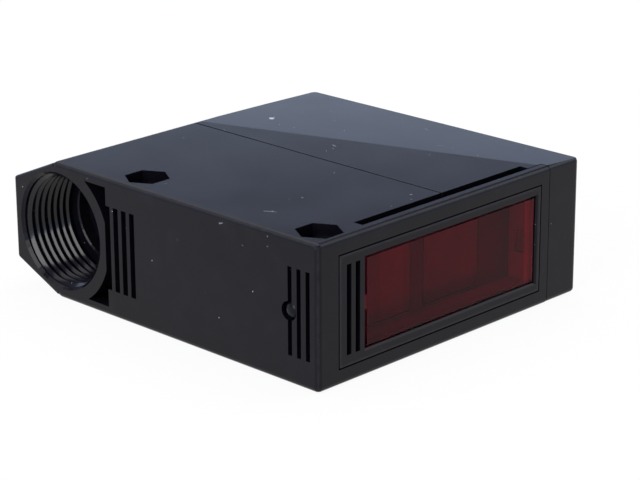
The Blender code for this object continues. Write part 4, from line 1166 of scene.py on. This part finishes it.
@dataclass
class Studio:
    """The floor, the light and the camera.

    Attributes:
        eye: where the camera is.
        forward: the way it looks.
        upward: the way its picture's top points.
        lens: its focal length in millimetres, on a picture 36 mm wide.
        sky: the world's colour above the horizon.
        horizon: the world's colour at the horizon and below.
        skyline: the Z of the directions where the sky's colour begins and where the horizon's ends.
        floor_drop: how far the floor lies below the sensor.
        floor_glow: how much of the floor that the camera sees is plain white.
        target: what the lamps face.
        lamps: the lamps.
    """

    eye: Point = (0.282412, -0.282311, 0.14746)
    forward: Point = (-0.660672, 0.675211, -0.328028)
    upward: Point = (-0.226458, 0.237349, 0.94466)
    lens: float = 134.357
    sky: Colour = (0.241, 0.265, 0.359)
    horizon: Colour = (0.96, 1.14, 1.52)
    skyline: tuple[float, float] = (0.268, 0.236)
    floor_size: float = 4.0
    floor_drop: float = 0.05 * MM
    floor_glow: float = 0.93
    target: Point = (0, 0, 0.012)
    lamps: tuple[Lamp, ...] = (
        Lamp("overhead", (-0.1, 0.25, 0.75), 0.7, 4.0),
        Lamp("left_front", (0.095, -0.55, 0.28), 0.4, 3.1),
        Lamp("upper_left", (-0.43, -0.35, 0.62), 0.45, 0.8),
        Lamp("upper_rear", (-0.6, 0.2, 0.64), 0.5, 0.8),
        Lamp("right_rear", (0.3, 0.6, 0.6), 0.5, 1.4),
    )

    def camera(self) -> None:
        """Puts the camera where the photograph's camera was."""
        data = bpy.data.cameras.new("camera")
        data.lens = self.lens
        data.sensor_width = 36.0
        data.clip_start = 0.01
        camera = bpy.data.objects.new("camera", data)
        back = -Vector(self.forward).normalized()
        right = Vector(self.upward).cross(back).normalized()
        top = back.cross(right)
        turn = Matrix((right, top, back)).transposed().to_4x4()
        camera.matrix_world = Matrix.Translation(self.eye) @ turn
        bpy.context.scene.collection.objects.link(camera)
        bpy.context.scene.camera = camera

    def floor(self) -> None:
        """A plain white floor that shows as white to the camera and keeps a soft shadow."""
        Bench.nothing_selected()
        bpy.ops.mesh.primitive_plane_add(size=self.floor_size, location=(0, 0, -self.floor_drop))
        floor = bpy.context.object
        floor.name = "floor"
        material = bpy.data.materials.new("floor_white")
        material.use_nodes = True
        graph = Graph(material.node_tree)
        shader = material.node_tree.nodes["Principled BSDF"]
        shader.inputs["Base Color"].default_value = (0.8, 0.8, 0.8, 1.0)
        shader.inputs["Roughness"].default_value = 0.9
        glow = graph.add("ShaderNodeEmission")
        glow.inputs["Strength"].default_value = 1.0
        blend = graph.add("ShaderNodeMixShader")
        graph.feed(blend.inputs[0], graph.math(Maths.TIMES, self.seen(graph), self.floor_glow))
        graph.feed(blend.inputs[1], shader.outputs[0])
        graph.feed(blend.inputs[2], glow.outputs[0])
        graph.feed(material.node_tree.nodes["Material Output"].inputs["Surface"], blend.outputs[0])
        floor.data.materials.append(material)

    @staticmethod
    def seen(graph: Graph) -> Socket:
        """1 for what the camera sees straight, through glass or in a reflection, and 0 for light.

        Args:
            graph: the floor material's Graph.

        Returns:
            The socket of that number.
        """
        path = graph.add("ShaderNodeLightPath").outputs
        bare = graph.math(Maths.ADD, path["Is Camera Ray"], path["Is Glossy Ray"], clamp=True)
        return graph.math(Maths.ADD, bare, path["Is Transmission Ray"], clamp=True)

    def light(self) -> None:
        """A soft world that is brightest at and below the horizon, and the lamps."""
        world = bpy.data.worlds.new("studio")
        world.use_nodes = True
        bpy.context.scene.world = world
        graph = Graph(world.node_tree)
        back = world.node_tree.nodes["Background"]
        height = graph.axes(graph.add("ShaderNodeTexCoord").outputs["Generated"])[2]
        pale = graph.ramp(height, *self.skyline)
        graph.feed(back.inputs["Color"], graph.mix(pale, self.sky, self.horizon))
        for lamp in self.lamps:
            lamp.hang(self.target)

    def build(self) -> None:
        """Sets up the floor, the light, the camera and the plain view transform."""
        self.camera()
        self.floor()
        self.light()
        bpy.context.scene.view_settings.view_transform = "Standard"


def main() -> None:
    """Builds the scene in order."""
    logging.basicConfig(level=logging.INFO, format="%(message)s")
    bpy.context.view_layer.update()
    Studio().build()
    Case().dress()
    thread = ConduitThread()
    thread.dress(thread.build())
    liner = TunnelLiner()
    liner.dress(liner.build())
    Optics().dress()
    Inside().dress()


if __name__ == "__main__":
    main()
